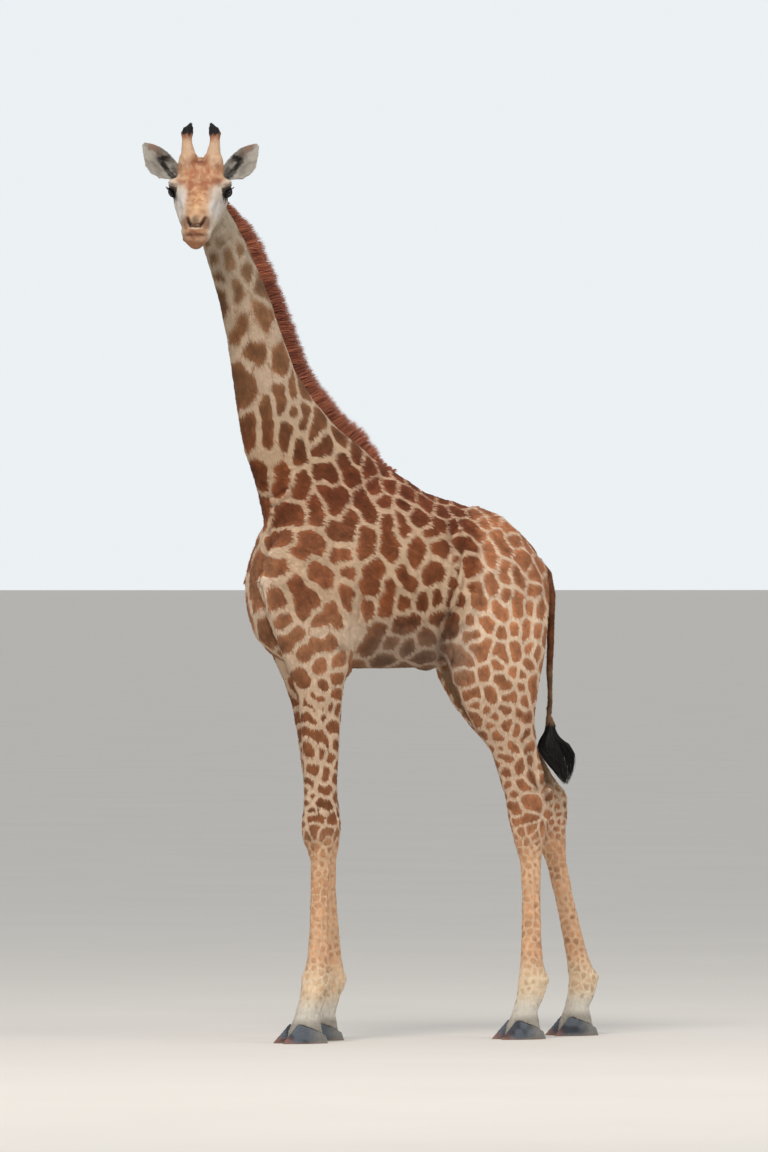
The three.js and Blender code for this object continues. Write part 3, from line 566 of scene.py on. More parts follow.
# The same for a leg, by height, outwards and forwards (see leg_spot), in groups that are laid on the
# sides named first: 1 as written and -1 with outwards and inwards changed about.
FORE_RELIEF = (
    ((1,), (
        (((1.02, 0, 1), (0.93, 0, 1)), 0.045, 0.007, 0.0),
        (((0.875, 0, 1),), 0.035, -0.004, 0.0),
        (((1.0, 0.35, -1),), 0.04, 0.014, 0.0),
        (((0.90, 0.3, -1),), 0.04, -0.008, 0.0),
        (((1.05, 1, 0.2),), 0.05, 0.005, 0.0),
        (((0.94, 1, 0.3),), 0.04, 0.005, 0.0),
    )),
    ((1, -1), (
        (((0.86, 1, -0.35), (0.62, 1, -0.30), (0.36, 1, -0.30)), 0.016, -0.006, 0.1),
        (((1.55, 1, -0.15), (1.35, 1, -0.2), (1.14, 1, -0.3)), 0.035, -0.006, 0.2),
        (((0.27, 1, -0.4),), 0.035, 0.004, 0.0),
        (((0.2, 1, -0.35), (0.12, 1, -0.3)), 0.02, -0.004, 0.0),
    )),
    ((1,), (
        (((0.285, 0, -1),), 0.04, 0.012, 0.0),
        (((0.20, 0, -1),), 0.035, -0.008, 0.0),
        (((0.30, 0, 1),), 0.05, 0.004, 0.0),
        (((0.80, 0, 1), (0.4, 0, 1)), 0.03, 0.003, 0.2),
    )),
)


HIND_RELIEF = (
    ((1, -1), (
        (((1.42, 1, -0.55), (1.30, 1, -0.62), (1.19, 1, -0.6)), 0.04, -0.014, 0.2),
        (((1.10, 1, -0.1), (1.02, 1, 0.1)), 0.04, 0.006, 0.0),
        (((0.88, 1, -0.25), (0.62, 1, -0.25), (0.36, 1, -0.25)), 0.016, -0.006, 0.1),
        (((0.27, 1, -0.35),), 0.035, 0.004, 0.0),
    )),
    ((1,), (
        (((1.14, 0, -1),), 0.035, 0.006, 0.0),
        (((0.28, 0, -1),), 0.04, 0.010, 0.0),
        (((0.195, 0, -1),), 0.035, -0.007, 0.0),
        (((1.12, 0, 1),), 0.05, -0.004, 0.0),
        (((0.80, 0, 1), (0.4, 0, 1)), 0.03, 0.003, 0.2),
    )),
)


def shape_leg(relief, axes, leg):
    table = FORE_RELIEF if leg.startswith("fore") else HIND_RELIEF
    for turns, rows in table:
        for turn in turns:
            for path, *form in rows:
                places = [leg_spot(axes, leg, level, turn * outward, forward)
                          for level, outward, forward in path]
                relief.swell(places, *form)


# The same for each side of the face, by places from the middle, forwards from the eyes and up.
FACE_RELIEF = (
    (((0.112, 0.03, -0.035), (0.09, 0.13, -0.030), (0.066, 0.23, -0.022)), 0.024, 0.006, 0.2),
    (((0.105, 0.09, 0.018), (0.080, 0.20, 0.016)), 0.032, -0.007, 0.2),
    (((0.115, 0.02, -0.09), (0.09, 0.14, -0.080), (0.07, 0.22, -0.066)), 0.036, -0.006, 0.2),
    (((0.11, -0.09, -0.09),), 0.075, 0.008, 0.0),
    (((0.122, -0.045, 0.052), (0.118, -0.12, 0.05)), 0.034, -0.008, 0.0),
    (((0.06, -0.02, 0.098), (0.085, -0.04, 0.088)), 0.030, -0.005, 0.0),
    (((0.046, 0.248, 0.036), (0.044, 0.285, 0.026), (0.030, 0.322, 0.018)), 0.017, 0.0055, 0.2),
    (((0.018, 0.245, 0.046), (0.016, 0.30, 0.036)), 0.014, 0.004, 0.2),
    (((0.026, -0.060, 0.100),), 0.030, 0.008, 0.0),
    (NOSTRIL, 0.0105, -0.019, 0.1),
    (MOUTH, 0.010, -0.008, 0.05),
    (((0.064, 0.255, -0.032), (0.058, 0.305, -0.012), (0.038, 0.344, 0.018), (0.0, 0.352, 0.030)),
     0.016, 0.004, 0.05),
    (((0.050, 0.310, -0.046), (0.032, 0.350, -0.018), (0.0, 0.366, -0.006)), 0.018, 0.006, 0.05),
    (((0.062, 0.20, -0.07), (0.060, 0.25, -0.062)), 0.02, -0.004, 0.0),
    (((0.052, 0.29, -0.075), (0.045, 0.335, -0.055)), 0.030, -0.006, 0.0),
)
# And along its middle.
FACE_MIDDLE = (
    (((0.0, -0.045, 0.100), (0.0, 0.015, 0.104)), 0.042, 0.012, 0.0),
    (((0.0, 0.06, 0.078), (0.0, 0.24, 0.046)), 0.030, 0.004, 0.2),
    (((0.0, 0.29, 0.040), (0.0, 0.325, 0.026)), 0.011, -0.005, 0.2),
    (((0.0, 0.325, -0.075), (0.0, 0.345, -0.055)), 0.030, 0.007, 0.0),
    (((0.0, -0.05, 0.100),), 0.036, 0.007, 0.0),
)
WRINKLES = 4
WRINKLE_FIRST, WRINKLE_STEP = 0.215, 0.016


def swell_face(relief, side, path, reach, height, ends=0.0):
    local = [(side * x, -forward, up) for x, forward, up in path]
    relief.swell(from_head(local), reach, height, ends)


def shape_face(relief):
    for _, side in SIDES:
        for row in FACE_RELIEF:
            swell_face(relief, side, *row)
        for wrinkle in range(WRINKLES):
            f = WRINKLE_FIRST + wrinkle * WRINKLE_STEP
            path = ((0.058, f, 0.016), (0.066, f + 0.006, -0.01), (0.066, f + 0.002, -0.034))
            swell_face(relief, side, path, 0.006, -0.0014, 0.2)
    for row in FACE_MIDDLE:
        swell_face(relief, 1.0, *row)


def cover_horns(relief):
    """The skin runs over the root of each horn and dives under its bare stem."""
    for _, side in SIDES:
        share = horn_share(relief.points, side)
        axis, root = horn_axis(side)
        away = np.linalg.norm(relief.points - root - (share * HORN_LENGTH)[:, None] * axis, axis=1)
        near = (1.0 - smooth(away, 0.062, 0.080)) * smooth(share, -0.2, 0.1)
        relief.height += near * (0.0040 - 0.0080 * smooth(share, 0.30, 0.52))


def shape_skin(mesh, axes, folds):
    points = get_points(mesh)
    relief = Relief(points)
    shape_trunk(relief)
    shape_neck(relief)
    for leg in LEG_NAMES:
        shape_leg(relief, axes, leg)
    shape_face(relief)
    cover_horns(relief)
    for path, reach, depth, _ in folds:
        relief.swell(path, reach, -depth, 0.2)
    head = head_share(points)
    coat = COAT_DEPTH + (FACE_COAT_DEPTH - COAT_DEPTH) * head
    uneven = 0.0012 * cloud(points, 0.05, 1) * (1.0 - head)
    set_points(mesh, points + get_normals(mesh) * (relief.height - coat + uneven)[:, None])


# ------------------------------------------------------------------ eyes and lids

GAZE = unit(np.array((0.62, -0.77, 0.11)))
LID_HALF_LENGTH = math.radians(62)
LID_HALF_HEIGHT = math.radians(50)
LID_THICKNESS = 0.0028
LID_POINTED = 0.35  # how strongly the opening narrows to its ends
LID_STEPS = 64
EYE_SINK = 0.72  # the skin inside the opening is drawn in to this share of the eyeball's radius


def eye_axes(side):
    """Centre of an eye, the ways it looks, along its opening and up, in the model's frame."""
    mirror = np.array((side, 1.0, 1.0))
    look = HEAD_AXES @ (GAZE * mirror)
    along = HEAD_AXES @ unit(np.array((0.30 * side, -0.93, -0.18)))
    along = unit(along - look * (along @ look))
    up = np.cross(look, along) * (1.0 if side < 0 else -1.0)
    up = up if up @ HEAD_AXES[:, 2] > 0 else -up
    return from_head(EYE_PLACE * mirror), look, along, up


def lid_point(length):
    """How much lower the opening is at each share of its half length than an ellipse would be."""
    return 1.0 + LID_POINTED * np.abs(length) ** 1.5


def lid_way(side, length, height):
    """Ways from the eye's centre to places on the opening, given by shares of its half sizes."""
    _, look, along, up = eye_axes(side)
    return unit(look + along * np.tan(length * LID_HALF_LENGTH)[:, None]
                + up * np.tan(height * LID_HALF_HEIGHT)[:, None])


def lid_measure(points, side):
    """How far past the opening's edge each point lies: under 1 is inside the opening."""
    centre, look, along, up = eye_axes(side)
    way = points - centre
    ahead = way @ look
    length = np.arctan2(way @ along, ahead) / LID_HALF_LENGTH
    height = np.arctan2(way @ up, ahead) / LID_HALF_HEIGHT
    measure = np.sqrt(length ** 2 + (height * lid_point(length)) ** 2)
    return measure, np.linalg.norm(way, axis=1), ahead


def open_lids(mesh):
    points = get_points(mesh)
    for _, side in SIDES:
        centre = eye_axes(side)[0]
        measure, distance, ahead = lid_measure(points, side)
        near = (distance < 0.075) & (ahead > -0.004)
        lid = np.maximum(distance, EYE_RADIUS + LID_THICKNESS)
        open_share = 1.0 - smooth(measure, 0.92, 1.06)
        fold = 0.003 * np.exp(-((measure - 1.75) / 0.16) ** 2)
        target = lid * (1.0 - open_share) + EYE_RADIUS * EYE_SINK * open_share - fold
        share = np.where(near, target / np.maximum(distance, 1e-6), 1.0)
        points = centre + (points - centre) * share[:, None]
    set_points(mesh, points)


def tube(path, radii, sides):
    """Points and quads of a closed tube along a closed path."""
    path = np.asarray(path)
    count = len(path)
    way = unit(np.roll(path, -1, 0) - np.roll(path, 1, 0))
    out = unit(path - path.mean(0))
    out = unit(out - way * np.sum(out * way, 1, keepdims=True))
    across = np.cross(way, out)
    turn = 2 * np.pi * np.arange(sides) / sides
    ring = path[:, None] + radii[:, None, None] * (
        np.cos(turn)[None, :, None] * out[:, None] + np.sin(turn)[None, :, None] * across[:, None])
    index = np.arange(count * sides).reshape(count, sides)
    after = np.roll(index, -1, 0)
    quads = np.stack([index, after, np.roll(after, -1, 1), np.roll(index, -1, 1)], -1).reshape(-1, 4)
    return ring.reshape(-1, 3), quads


def build_lid(label, side):
    """The dark rim of the lids round one eye."""
    turn = 2 * np.pi * np.arange(LID_STEPS) / LID_STEPS
    length = np.cos(turn)
    height = np.sin(turn) / lid_point(length)
    path = eye_axes(side)[0] + lid_way(side, length, height) * (EYE_RADIUS + 0.0012)
    points, quads = tube(path, 0.0026 + 0.0012 * np.clip(height, 0, 1), 8)
    obj = new_object(f"lid_{label}", mesh_from(f"lid_{label}", points, quads))
    face_outwards(obj.data)
    set_smooth(obj.data)
    return obj


def build_eye(label, side):
    """One eyeball with a slight bulge of the cornea. The pupil's place is kept for its material."""
    centre, look, along, up = eye_axes(side)
    rings, sides = 40, 64
    polar = np.pi * (np.arange(rings) + 0.5) / rings
    turn = 2 * np.pi * np.arange(sides) / sides
    bulge = 1.0 + 0.045 * np.exp(-(polar / 0.55) ** 2)
    ring = (np.cos(polar)[:, None, None] * look
            + np.sin(polar)[:, None, None] * (np.cos(turn)[None, :, None] * along
                                              + np.sin(turn)[None, :, None] * up))
    points = (centre + EYE_RADIUS * ring * bulge[:, None, None]).reshape(-1, 3)
    index = np.arange(rings * sides).reshape(rings, sides)
    right = np.roll(index, -1, 1)
    quads = np.stack([index[:-1], right[:-1], right[1:], index[1:]], -1).reshape(-1, 4).tolist()
    quads += [index[0][::-1].tolist(), index[-1].tolist()]
    mesh = bpy.data.meshes.new(f"eyeball_{label}")
    mesh.from_pydata(points.tolist(), [], quads)
    mesh.update()
    face_outwards(mesh)
    local = (points - centre) / EYE_RADIUS
    set_value(mesh, "ahead", local @ look)
    set_value(mesh, "pupil", np.hypot((local @ along) / 0.46, (local @ up) / 0.22))
    obj = new_object(f"eyeball_{label}", mesh)
    set_smooth(mesh)
    return obj


# ------------------------------------------------------------------ markings

def srgb(red, green, blue):
    """Linear colour of an 8-bit sRGB colour."""
    value = np.array((red, green, blue)) / 255.0
    return np.where(value <= 0.04045, value / 12.92, ((value + 0.055) / 1.055) ** 2.4)


# Height along the body, and beside it the usual distance between the middles of two patches there.
SPACING_TRUNK = ((1.60, 0.115), (1.80, 0.135), (2.30, 0.150), (2.50, 0.125), (2.62, 0.100))
SPACING_NECK = ((2.50, 0.130), (3.00, 0.128), (3.35, 0.118), (3.60, 0.085), (3.85, 0.066))
SPACING_FORE = ((0.25, 0.032), (0.70, 0.030), (0.98, 0.044), (1.20, 0.064), (1.55, 0.090), (1.90, 0.130))
SPACING_HIND = ((0.25, 0.032), (0.80, 0.030), (1.10, 0.042), (1.30, 0.054), (1.60, 0.074), (1.90, 0.090),
                (2.20, 0.098), (2.40, 0.080))
TALL_TRUNK = 1.18  # how much taller than wide a patch is
TALL_NECK = 1.55


def level_table(levels, table):
    heights, values = zip(*table)
    return np.interp(levels, heights, values)


def body_shares(points):
    """How much each point belongs to the neck, the fore leg, the hind quarter and the head."""
    local = points - TRUNK_AT
    y, z = local[:, 1], local[:, 2]
    rise = z - 0.42 * (y + 0.45)
    neck = smooth(rise, 2.42, 2.66)
    fore = (1.0 - smooth(z, 1.55, 1.85)) * (y < 0.14)
    edge = 0.30 + 0.10 * smooth(z, 1.9, 2.3) - 0.08 * (1.0 - smooth(z, 1.7, 1.95))
    hind = smooth(y, edge - 0.03, edge + 0.03) * (1.0 - neck)
    hind = np.maximum(hind, (z < 1.62) & (y > 0.14))
    return neck, fore, hind, head_share(points)


def back_top(y):
    """Height of the back at each distance along the trunk."""
    return 2.60 - 0.42 * smooth(y, -0.1, 0.8)


def spacing_at(points):
    """Usual distance between the middles of two patches at each point."""
    neck, fore, hind, head = body_shares(points)
    z = points[:, 2]
    gap = level_table(z, SPACING_TRUNK)
    local = points - TRUNK_AT
    top = back_top(local[:, 1])
    crest = smooth(z, top - 0.26, top - 0.04) * (local[:, 1] > -0.3)
    gap = gap * (1.0 - 0.35 * crest)
    gap = gap * (1.0 - neck) + level_table(z, SPACING_NECK) * neck
    gap = gap * (1.0 - fore) + level_table(z, SPACING_FORE) * fore
    gap = gap * (1.0 - hind) + level_table(z, SPACING_HIND) * hind
    return gap * (1.0 - 0.55 * head)


def pattern_space(points):
    """The points squeezed in height where patches are taller than wide, and a little stirred."""
    heights = np.array((0.0, 1.5, 2.0, 2.5, 3.0, 4.2))
    tall = np.array((1.0, 1.0, TALL_TRUNK, TALL_TRUNK, TALL_NECK, TALL_NECK))
    marks = np.linspace(0.0, 4.2, 400)
    squeezed = np.concatenate(([0.0], np.cumsum(np.diff(marks) / np.interp(marks[1:], heights, tall))))
    flat = points.copy()
    flat[:, 2] = np.interp(points[:, 2], marks, squeezed)
    gap = spacing_at(points)[:, None]
    stir = np.stack([cloud(points, 0.11, 11 + axis) for axis in range(3)], -1)
    fine = np.stack([cloud(points, 0.036, 21 + axis) for axis in range(3)], -1)
    low = 1.0 - smooth(points[:, 2:3], 1.3, 1.7)
    return flat + gap * ((0.07 + 0.03 * low) * stir + (0.04 + 0.05 * low) * fine)


# Patches of the near side, each by one or more pixels inside it, from the head's end to the tail's.
NECK_PATCHES = (
    ((213, 258),), ((228, 254), (229, 263)), ((240, 246),), ((219, 277),), ((246, 270),),
    ((221, 293), (223, 304)), ((236, 285), (237, 296)), ((260, 285),), ((241, 320), (237, 334)),
    ((260, 308), (265, 321)), ((248, 352), (259, 350)), ((277, 351), (280, 366)),
    ((240, 371), (248, 385), (242, 398)), ((279, 391), (281, 404)), ((293, 389),), ((293, 409),),
    ((303, 391),), ((226, 335),), ((249, 421), (250, 436)), ((267, 408), (268, 424), (267, 440)),
    ((287, 426), (285, 441)), ((305, 407), (303, 424)), ((318, 420), (312, 433)),
    ((299, 444), (300, 457)), ((316, 449), (327, 443)), ((340, 437),), ((356, 453),),
    ((259, 467), (260, 480)), ((281, 467), (279, 484)), ((304, 477), (301, 489)),
    ((317, 471), (330, 473)), ((342, 461), (351, 476)), ((368, 466),), ((383, 468),), ((375, 487),),
    ((388, 486),), ((384, 500),), ((245, 462),), ((262, 505),),
)
TRUNK_PATCHES = (
    ((284, 515), (296, 514)), ((314, 500), (314, 514)), ((323, 491), (338, 496), (335, 507)),
    ((360, 500), (368, 512)), ((349, 517), (335, 530), (346, 532)), ((281, 539),),
    ((298, 553), (308, 541), (319, 547)), ((334, 555), (345, 554)), ((270, 570), (281, 566)),
    ((313, 571), (326, 574), (325, 582)), ((348, 572),), ((273, 594), (277, 602)),
    ((295, 583), (301, 596), (313, 599), (303, 611)), ((347, 591), (346, 602)), ((284, 619),),
    ((331, 608), (319, 620), (340, 622)), ((287, 643), (297, 633)),
    ((304, 654), (316, 643), (331, 642)), ((320, 666),), ((338, 662),), ((299, 675), (305, 685)),
    ((323, 687),), ((336, 678),), ((252, 574), (253, 588), (256, 602)), ((264, 625), (268, 636)),
    ((366, 535), (364, 551)), ((389, 520), (389, 538), (389, 556)), ((400, 517), (403, 528)),
    ((404, 506),), ((406, 494),), ((414, 516), (422, 520)), ((425, 503),), ((431, 532), (440, 523)),
    ((443, 513),), ((456, 511),), ((453, 526),), ((417, 544), (415, 558)), ((436, 545), (445, 551)),
    ((455, 562),), ((400, 573), (409, 584)), ((429, 573), (439, 572)), ((453, 582), (450, 598)),
    ((364, 583), (370, 571), (380, 568), (374, 587)), ((389, 583), (387, 597), (383, 612)),
    ((403, 601),), ((423, 601),), ((437, 597),), ((369, 609),), ((398, 626), (412, 620)), ((438, 618),),
    ((380, 627), (373, 641)), ((391, 642),), ((426, 636),), ((407, 648),), ((385, 660),), ((420, 658),),
)
HAUNCH_PATCHES = (
    ((464, 524), (473, 530), (479, 536)), ((461, 543), (471, 546)),
    ((473, 556), (478, 564), (470, 569)), ((488, 546), (491, 560)), ((474, 513),), ((485, 522),),
    ((496, 536), (504, 548)), ((492, 519),), ((507, 527),), ((457, 565),), ((504, 567), (504, 577)),
    ((515, 571), (519, 580)), ((513, 539),), ((519, 556), (526, 564)), ((488, 577), (493, 588)),
    ((475, 587), (475, 600), (482, 605)), ((461, 601),), ((505, 595),), ((516, 597), (518, 611)),
    ((498, 606), (504, 615)), ((533, 590),), ((532, 608),), ((539, 609),), ((533, 572),),
    ((455, 620), (455, 632)), ((470, 622),), ((484, 621), (488, 627)), ((467, 635), (476, 634)),
    ((502, 633),), ((515, 630),), ((527, 627), (527, 636)), ((538, 631),),
    ((476, 647), (486, 644), (480, 652)), ((499, 648), (504, 658)), ((516, 647), (517, 655)),
    ((530, 647),), ((457, 652), (468, 660), (458, 661)), ((528, 664),), ((500, 665),), ((538, 652),),
    ((462, 675), (469, 679)), ((484, 675),), ((514, 672),), ((523, 675),), ((500, 679), (507, 685)),
    ((522, 687),), ((532, 684), (534, 695)), ((471, 695), (477, 694)), ((488, 692), (493, 699)),
    ((506, 699), (514, 696)), ((525, 700),), ((476, 705),), ((487, 710),), ((494, 716),),
    ((504, 707), (508, 712)), ((474, 716), (478, 722)), ((490, 726),), ((510, 721), (507, 727)),
    ((518, 725), (516, 734)), ((519, 714), (524, 720), (528, 718)), ((484, 735),),
    ((495, 734), (500, 740)), ((527, 733), (524, 739)), ((491, 749),), ((501, 748),),
    ((510, 745), (515, 750)), ((501, 756), (507, 758), (511, 759)), ((528, 748), (533, 746)),
    ((496, 764),), ((519, 763), (520, 769)), ((505, 772),), ((505, 786),), ((523, 784),), ((512, 794),),
    ((525, 802), (529, 806)), ((509, 804), (516, 806), (518, 812)),
    ((514, 823), (520, 820), (527, 817)), ((532, 760),), ((531, 775),),
)
ARM_PATCHES = (
    ((312, 696), (319, 700)), ((297, 698),), ((305, 702), (311, 706), (315, 711)),
    ((304, 717), (309, 714), (313, 720)), ((322, 709), (324, 717)), ((331, 708),), ((337, 694),),
    ((337, 709),), ((331, 725), (336, 729)), ((306, 731), (314, 734), (321, 737), (327, 742)),
    ((306, 745), (312, 753)), ((322, 753),), ((331, 757),), ((336, 743),), ((311, 768), (317, 771)),
    ((325, 772), (325, 778)), ((308, 782), (311, 785)), ((320, 788), (328, 790)), ((306, 790),),
    ((312, 796),), ((318, 802), (327, 804)), ((307, 803),), ((311, 810),), ((312, 818), (318, 819)),
    ((315, 827), (314, 833)), ((333, 820),), ((323, 835), (331, 832)),
)
# Pixels of wide pale places, where no patch reaches.
PALE_PLACES = (
    (262, 452), (276, 455), (264, 379), (257, 332), (273, 338), (236, 352), (229, 318), (243, 305),
    (355, 600), (354, 617), (356, 634), (320, 632), (264, 582), (262, 596), (291, 662), (286, 668),
    (293, 562), (302, 568), (327, 595), (343, 620), (342, 634), (282, 552), (324, 812), (324, 745),
)
PALE_SHRINK = 0.013  # how far the patches reach back into the pale places' share
PALE = -1  # number of the pale places
PLACED_LOW, PLACED_HIGH = 0.96, 3.66  # heights between which the near side's patches are placed
LEGS_PART = 1.62  # below this only the near legs' patches are placed
SEED_CHOICES = 60000
NEAR_SEEDS = 9  # seeds that are looked at round each point
SEED_REACH = 0.86  # least distance of two seeds beside the usual one
CORNER = 0.04  # how round the patches' corners are, beside the usual distance


def placed_seeds(sight):
    """Places of the patches and pale parts of the near side, and the patches' numbers."""
    places, numbers = [], []
    patches = NECK_PATCHES + TRUNK_PATCHES + HAUNCH_PATCHES + ARM_PATCHES
    for number, pixels in [*enumerate(patches), (PALE, PALE_PLACES)]:
        found = sight.places(pixels)
        places.extend(found)
        numbers.extend([number] * len(found))
    return np.array(places), np.array(numbers)


def scatter_seeds(flat, gaps, open_places, taken):
    """Points on the skin, each about its own gap from the next and from the places that are taken."""
    order = rng.permutation(np.flatnonzero(open_places))[:SEED_CHOICES]
    order = order[np.argsort(flat[order, 2], kind="stable")]
    levels = flat[order, 2]
    free = np.ones(len(order), bool)
    for place in taken:
        free &= np.sum((flat[order] - place) ** 2, 1) > (gaps[order] * SEED_REACH) ** 2
    seeds = []
    for pick in rng.permutation(len(order)):
        if not free[pick]:
            continue
        number = order[pick]
        seeds.append(number)
        reach = gaps[number] * SEED_REACH
        first, last = np.searchsorted(levels, (levels[pick] - reach, levels[pick] + reach))
        away = np.sum((flat[order[first:last]] - flat[number]) ** 2, 1)
        free[first:last] &= away > reach * reach
    return np.array(seeds)


def measure_patches(flat, seeds_flat, numbers, gaps):
    """Distance from the border of the patch that each point is in, and the patch's number."""
    tree = KDTree(len(seeds_flat))
    for number, place in enumerate(seeds_flat.tolist()):
        tree.insert(place, number)
    tree.balance()
    index = np.zeros((len(flat), NEAR_SEEDS), np.int32)
    for row, place in enumerate(flat.tolist()):
        index[row] = [hit[1] for hit in tree.find_n(place, NEAR_SEEDS)]
    places = seeds_flat[index]
    first = places[:, 0]
    total = np.full(len(flat), 1e-9)
    corner = CORNER * gaps
    own = numbers[index[:, 0]]
    pale = own == PALE
    square_first = np.sum((flat - first) ** 2, 1)
    for other in range(1, NEAR_SEEDS):
        second = places[:, other]
        apart = np.linalg.norm(second - first, axis=1)
        gap = (np.sum((flat - second) ** 2, 1) - square_first) / (2 * np.maximum(apart, 1e-6))
        label = numbers[index[:, other]]
        gap = gap + PALE_SHRINK * (label == PALE)
        total += np.exp(-gap / corner) * np.where(pale, label != PALE, label != own)
        own = np.where(own == PALE, label, own)
    border = -corner * np.log(total)
    return np.where(pale, PALE_SHRINK - np.maximum(border, 0.0), border), own


HALF_LINES = {"trunk": 0.0098, "neck": 0.0100, "fore": 0.0108, "hind": 0.0092}
SHOULDER_EXTRA = 0.0020
CREST_SHARE = 0.5  # how much narrower the lines are along the back


def half_line(points):
    """Half the width of the pale lines between patches."""
    neck, fore, hind, _ = body_shares(points)
    y, z = points[:, 1] - TRUNK_AT[1], points[:, 2]
    shoulder = SHOULDER_EXTRA * between(y, -0.75, -0.22, 0.10) * (1 - smooth(z, 2.2, 2.4))
    width = HALF_LINES["trunk"] + shoulder
    width = width * (1 - neck) + HALF_LINES["neck"] * neck
    leg = 0.35 + 0.65 * smooth(z, 0.85, 1.15)
    width = width * (1 - fore) + HALF_LINES["fore"] * leg * fore
    width = width * (1 - hind) + HALF_LINES["hind"] * leg * hind
    crest = smooth(z, back_top(y) - 0.22, back_top(y) - 0.02) * (1 - neck)
    return width * (1 - CREST_SHARE * crest) * (1 + 0.25 * cloud(points, 0.16, 5))


def blend_colours(base, colour, share):
    return base * (1.0 - share[:, None]) + np.asarray(colour) * share[:, None]


def tinted(base, rows):
    """The base with tints laid over it: rows of share, 8-bit sRGB tint and strength."""
    for share, tint, strength in rows:
        base = blend_colours(base, srgb(*tint), strength * share)
    return base


def plain(tint, count):
    return np.tile(srgb(*tint), (count, 1))


BODY_PATCH, BODY_GROUND = (132, 74, 42), (198, 167, 137)
SHIN = (0.82, 1.02)  # the height over which the patches fade out down the shin
PASTERN = (0.13, 0.24)


def body_tints(local, neck, hind):
    """Regions of the body: share, tint and strength for the patches, tint and strength for the ground.
    Among them are painted shade on the belly and between the legs, and painted light on the breast.
    """
    y, z = local[:, 1], local[:, 2]
    off_middle = np.abs(local[:, 0])
    top = back_top(y)
    nape = neck * between(z, 2.50, 2.95, 0.12) * smooth(y - 0.55 * (2.75 - z), -0.62, -0.50)
    crest = smooth(z, top - 0.34, top) * (1 - neck) * (1 - 0.7 * smooth(y, 0.2, 0.5))
    # Painted shade: the belly's hair is greyer and painted darker, as shade under the body.
    shaded_belly = (1.0 - smooth(z, 1.74, 2.0)) * between(y, -0.24, 0.34, 0.07) * (z > 1.6)
    shoulder = between(y, -0.75, -0.2, 0.1) * (1 - smooth(z, 2.2, 2.5)) * smooth(z, 1.5, 1.8)
    upper_arm = between(y, -0.75, -0.15, 0.08) * (1 - smooth(z, 1.85, 2.05)) * smooth(z, 1.5, 1.7)
    # Painted light: the breast's patches and ground painted lighter, as light on the front of the chest.
    lit_breast = (1 - smooth(y, -0.74, -0.58)) * (1 - smooth(z, 2.25, 2.45)) * smooth(z, 1.5, 1.7)
    legs = 1.0 - smooth(z, 1.45, 1.85)
    dock = smooth(y, 0.765, 0.80) * (off_middle < 0.05) * (z > 1.4)
    # Between the legs the hair is plain brown, painted darker as shade.
    inner = smooth(z, 1.2, 1.4) * (1 - smooth(z, 1.66, 1.74)) * (off_middle < 0.06)
    return (
        (nape, (98, 54, 30), 0.75, BODY_GROUND, 0.0),
        (neck * smooth(z, 2.62, 3.02), (144, 98, 66), 1.0, (198, 172, 146), 1.0),
        (hind, (184, 122, 84), 1.0, (226, 198, 170), 1.0),
        (neck * smooth(z, 3.2, 3.6), (146, 112, 82), 1.0, (184, 164, 142), 1.0),
        (crest, (112, 54, 32), 0.8, (198, 156, 128), 0.6),
        (shaded_belly, (138, 114, 94), 0.85, (170, 150, 134), 0.85),
        (shoulder, (160, 102, 70), 0.45, BODY_GROUND, 0.0),
        (upper_arm, (174, 120, 84), 0.8, (214, 188, 162), 0.7),
        (lit_breast, (212, 152, 110), 0.85, (238, 214, 190), 0.85),
        (legs * (1 - hind), (138, 86, 54), 1.0, BODY_GROUND, 0.0),
        (legs * hind, (164, 108, 74), 1.0, BODY_GROUND, 0.0),
        (legs, BODY_PATCH, 0.0, (212, 182, 154), 1.0),
        (1.0 - smooth(z, *SHIN), (206, 156, 118), 1.0, (222, 182, 146), 1.0),
        (1.0 - smooth(z, 0.27, 0.40), (222, 188, 152), 1.0, (232, 208, 176), 1.0),
        (1.0 - smooth(z, *PASTERN), (206, 196, 180), 1.0, (212, 204, 190), 1.0),
        (1.0 - smooth(z, 0.085, 0.125), (128, 118, 108), 0.6, (132, 122, 112), 0.6),
        (dock, (122, 74, 46), 1.0, (136, 86, 56), 1.0),
        (inner, (138, 108, 84), 0.8, (146, 116, 90), 0.8),
    )


def mottle(points, border, tone, fore):
    """Lighter and darker hair within the patches, darkest in the middle of each."""
    shade = 1.0 + 0.26 * (tone - 0.5) + 0.20 * cloud(points, 0.032, 8)
    shade = shade + 0.16 * cloud(points * (1, 1, 0.4), 0.009, 9)
    core = smooth(border + 0.012 * cloud(points, 0.03, 2), 0.010, 0.045)
    return shade * (1.0 - 0.32 * core * (1 - 0.6 * fore)) * (1.0 - 0.15 * cloud(points, 0.06, 3))


def paint_body(points, border, tone):
    """Colours of the patches and of the ground between them, and how deep in a patch each point is."""
    neck, fore, hind, _ = body_shares(points)
    local = points - TRUNK_AT
    z = local[:, 2]
    rows = body_tints(local, neck, hind)
    patch = tinted(plain(BODY_PATCH, len(points)), [(row[0], row[1], row[2]) for row in rows])
    ground = tinted(plain(BODY_GROUND, len(points)), [(row[0], row[3], row[4]) for row in rows])
    patch = patch * mottle(points, border, tone, fore)[:, None]
    ground = ground * (1.0 + 0.06 * cloud(points, 0.05, 6) + 0.05 * cloud(points, 0.012, 7))[:, None]
    pastern, shin = 1.0 - smooth(z, *PASTERN), 1.0 - smooth(z, *SHIN)
    inside = border - half_line(points)
    inside = inside * (1.0 - 0.72 * smooth(z, 2.9, 3.3) * neck)
    inside = inside - 0.012 * pastern - 0.004 * shin * (0.5 + cloud(points, 0.12, 4))
    return patch, ground, inside


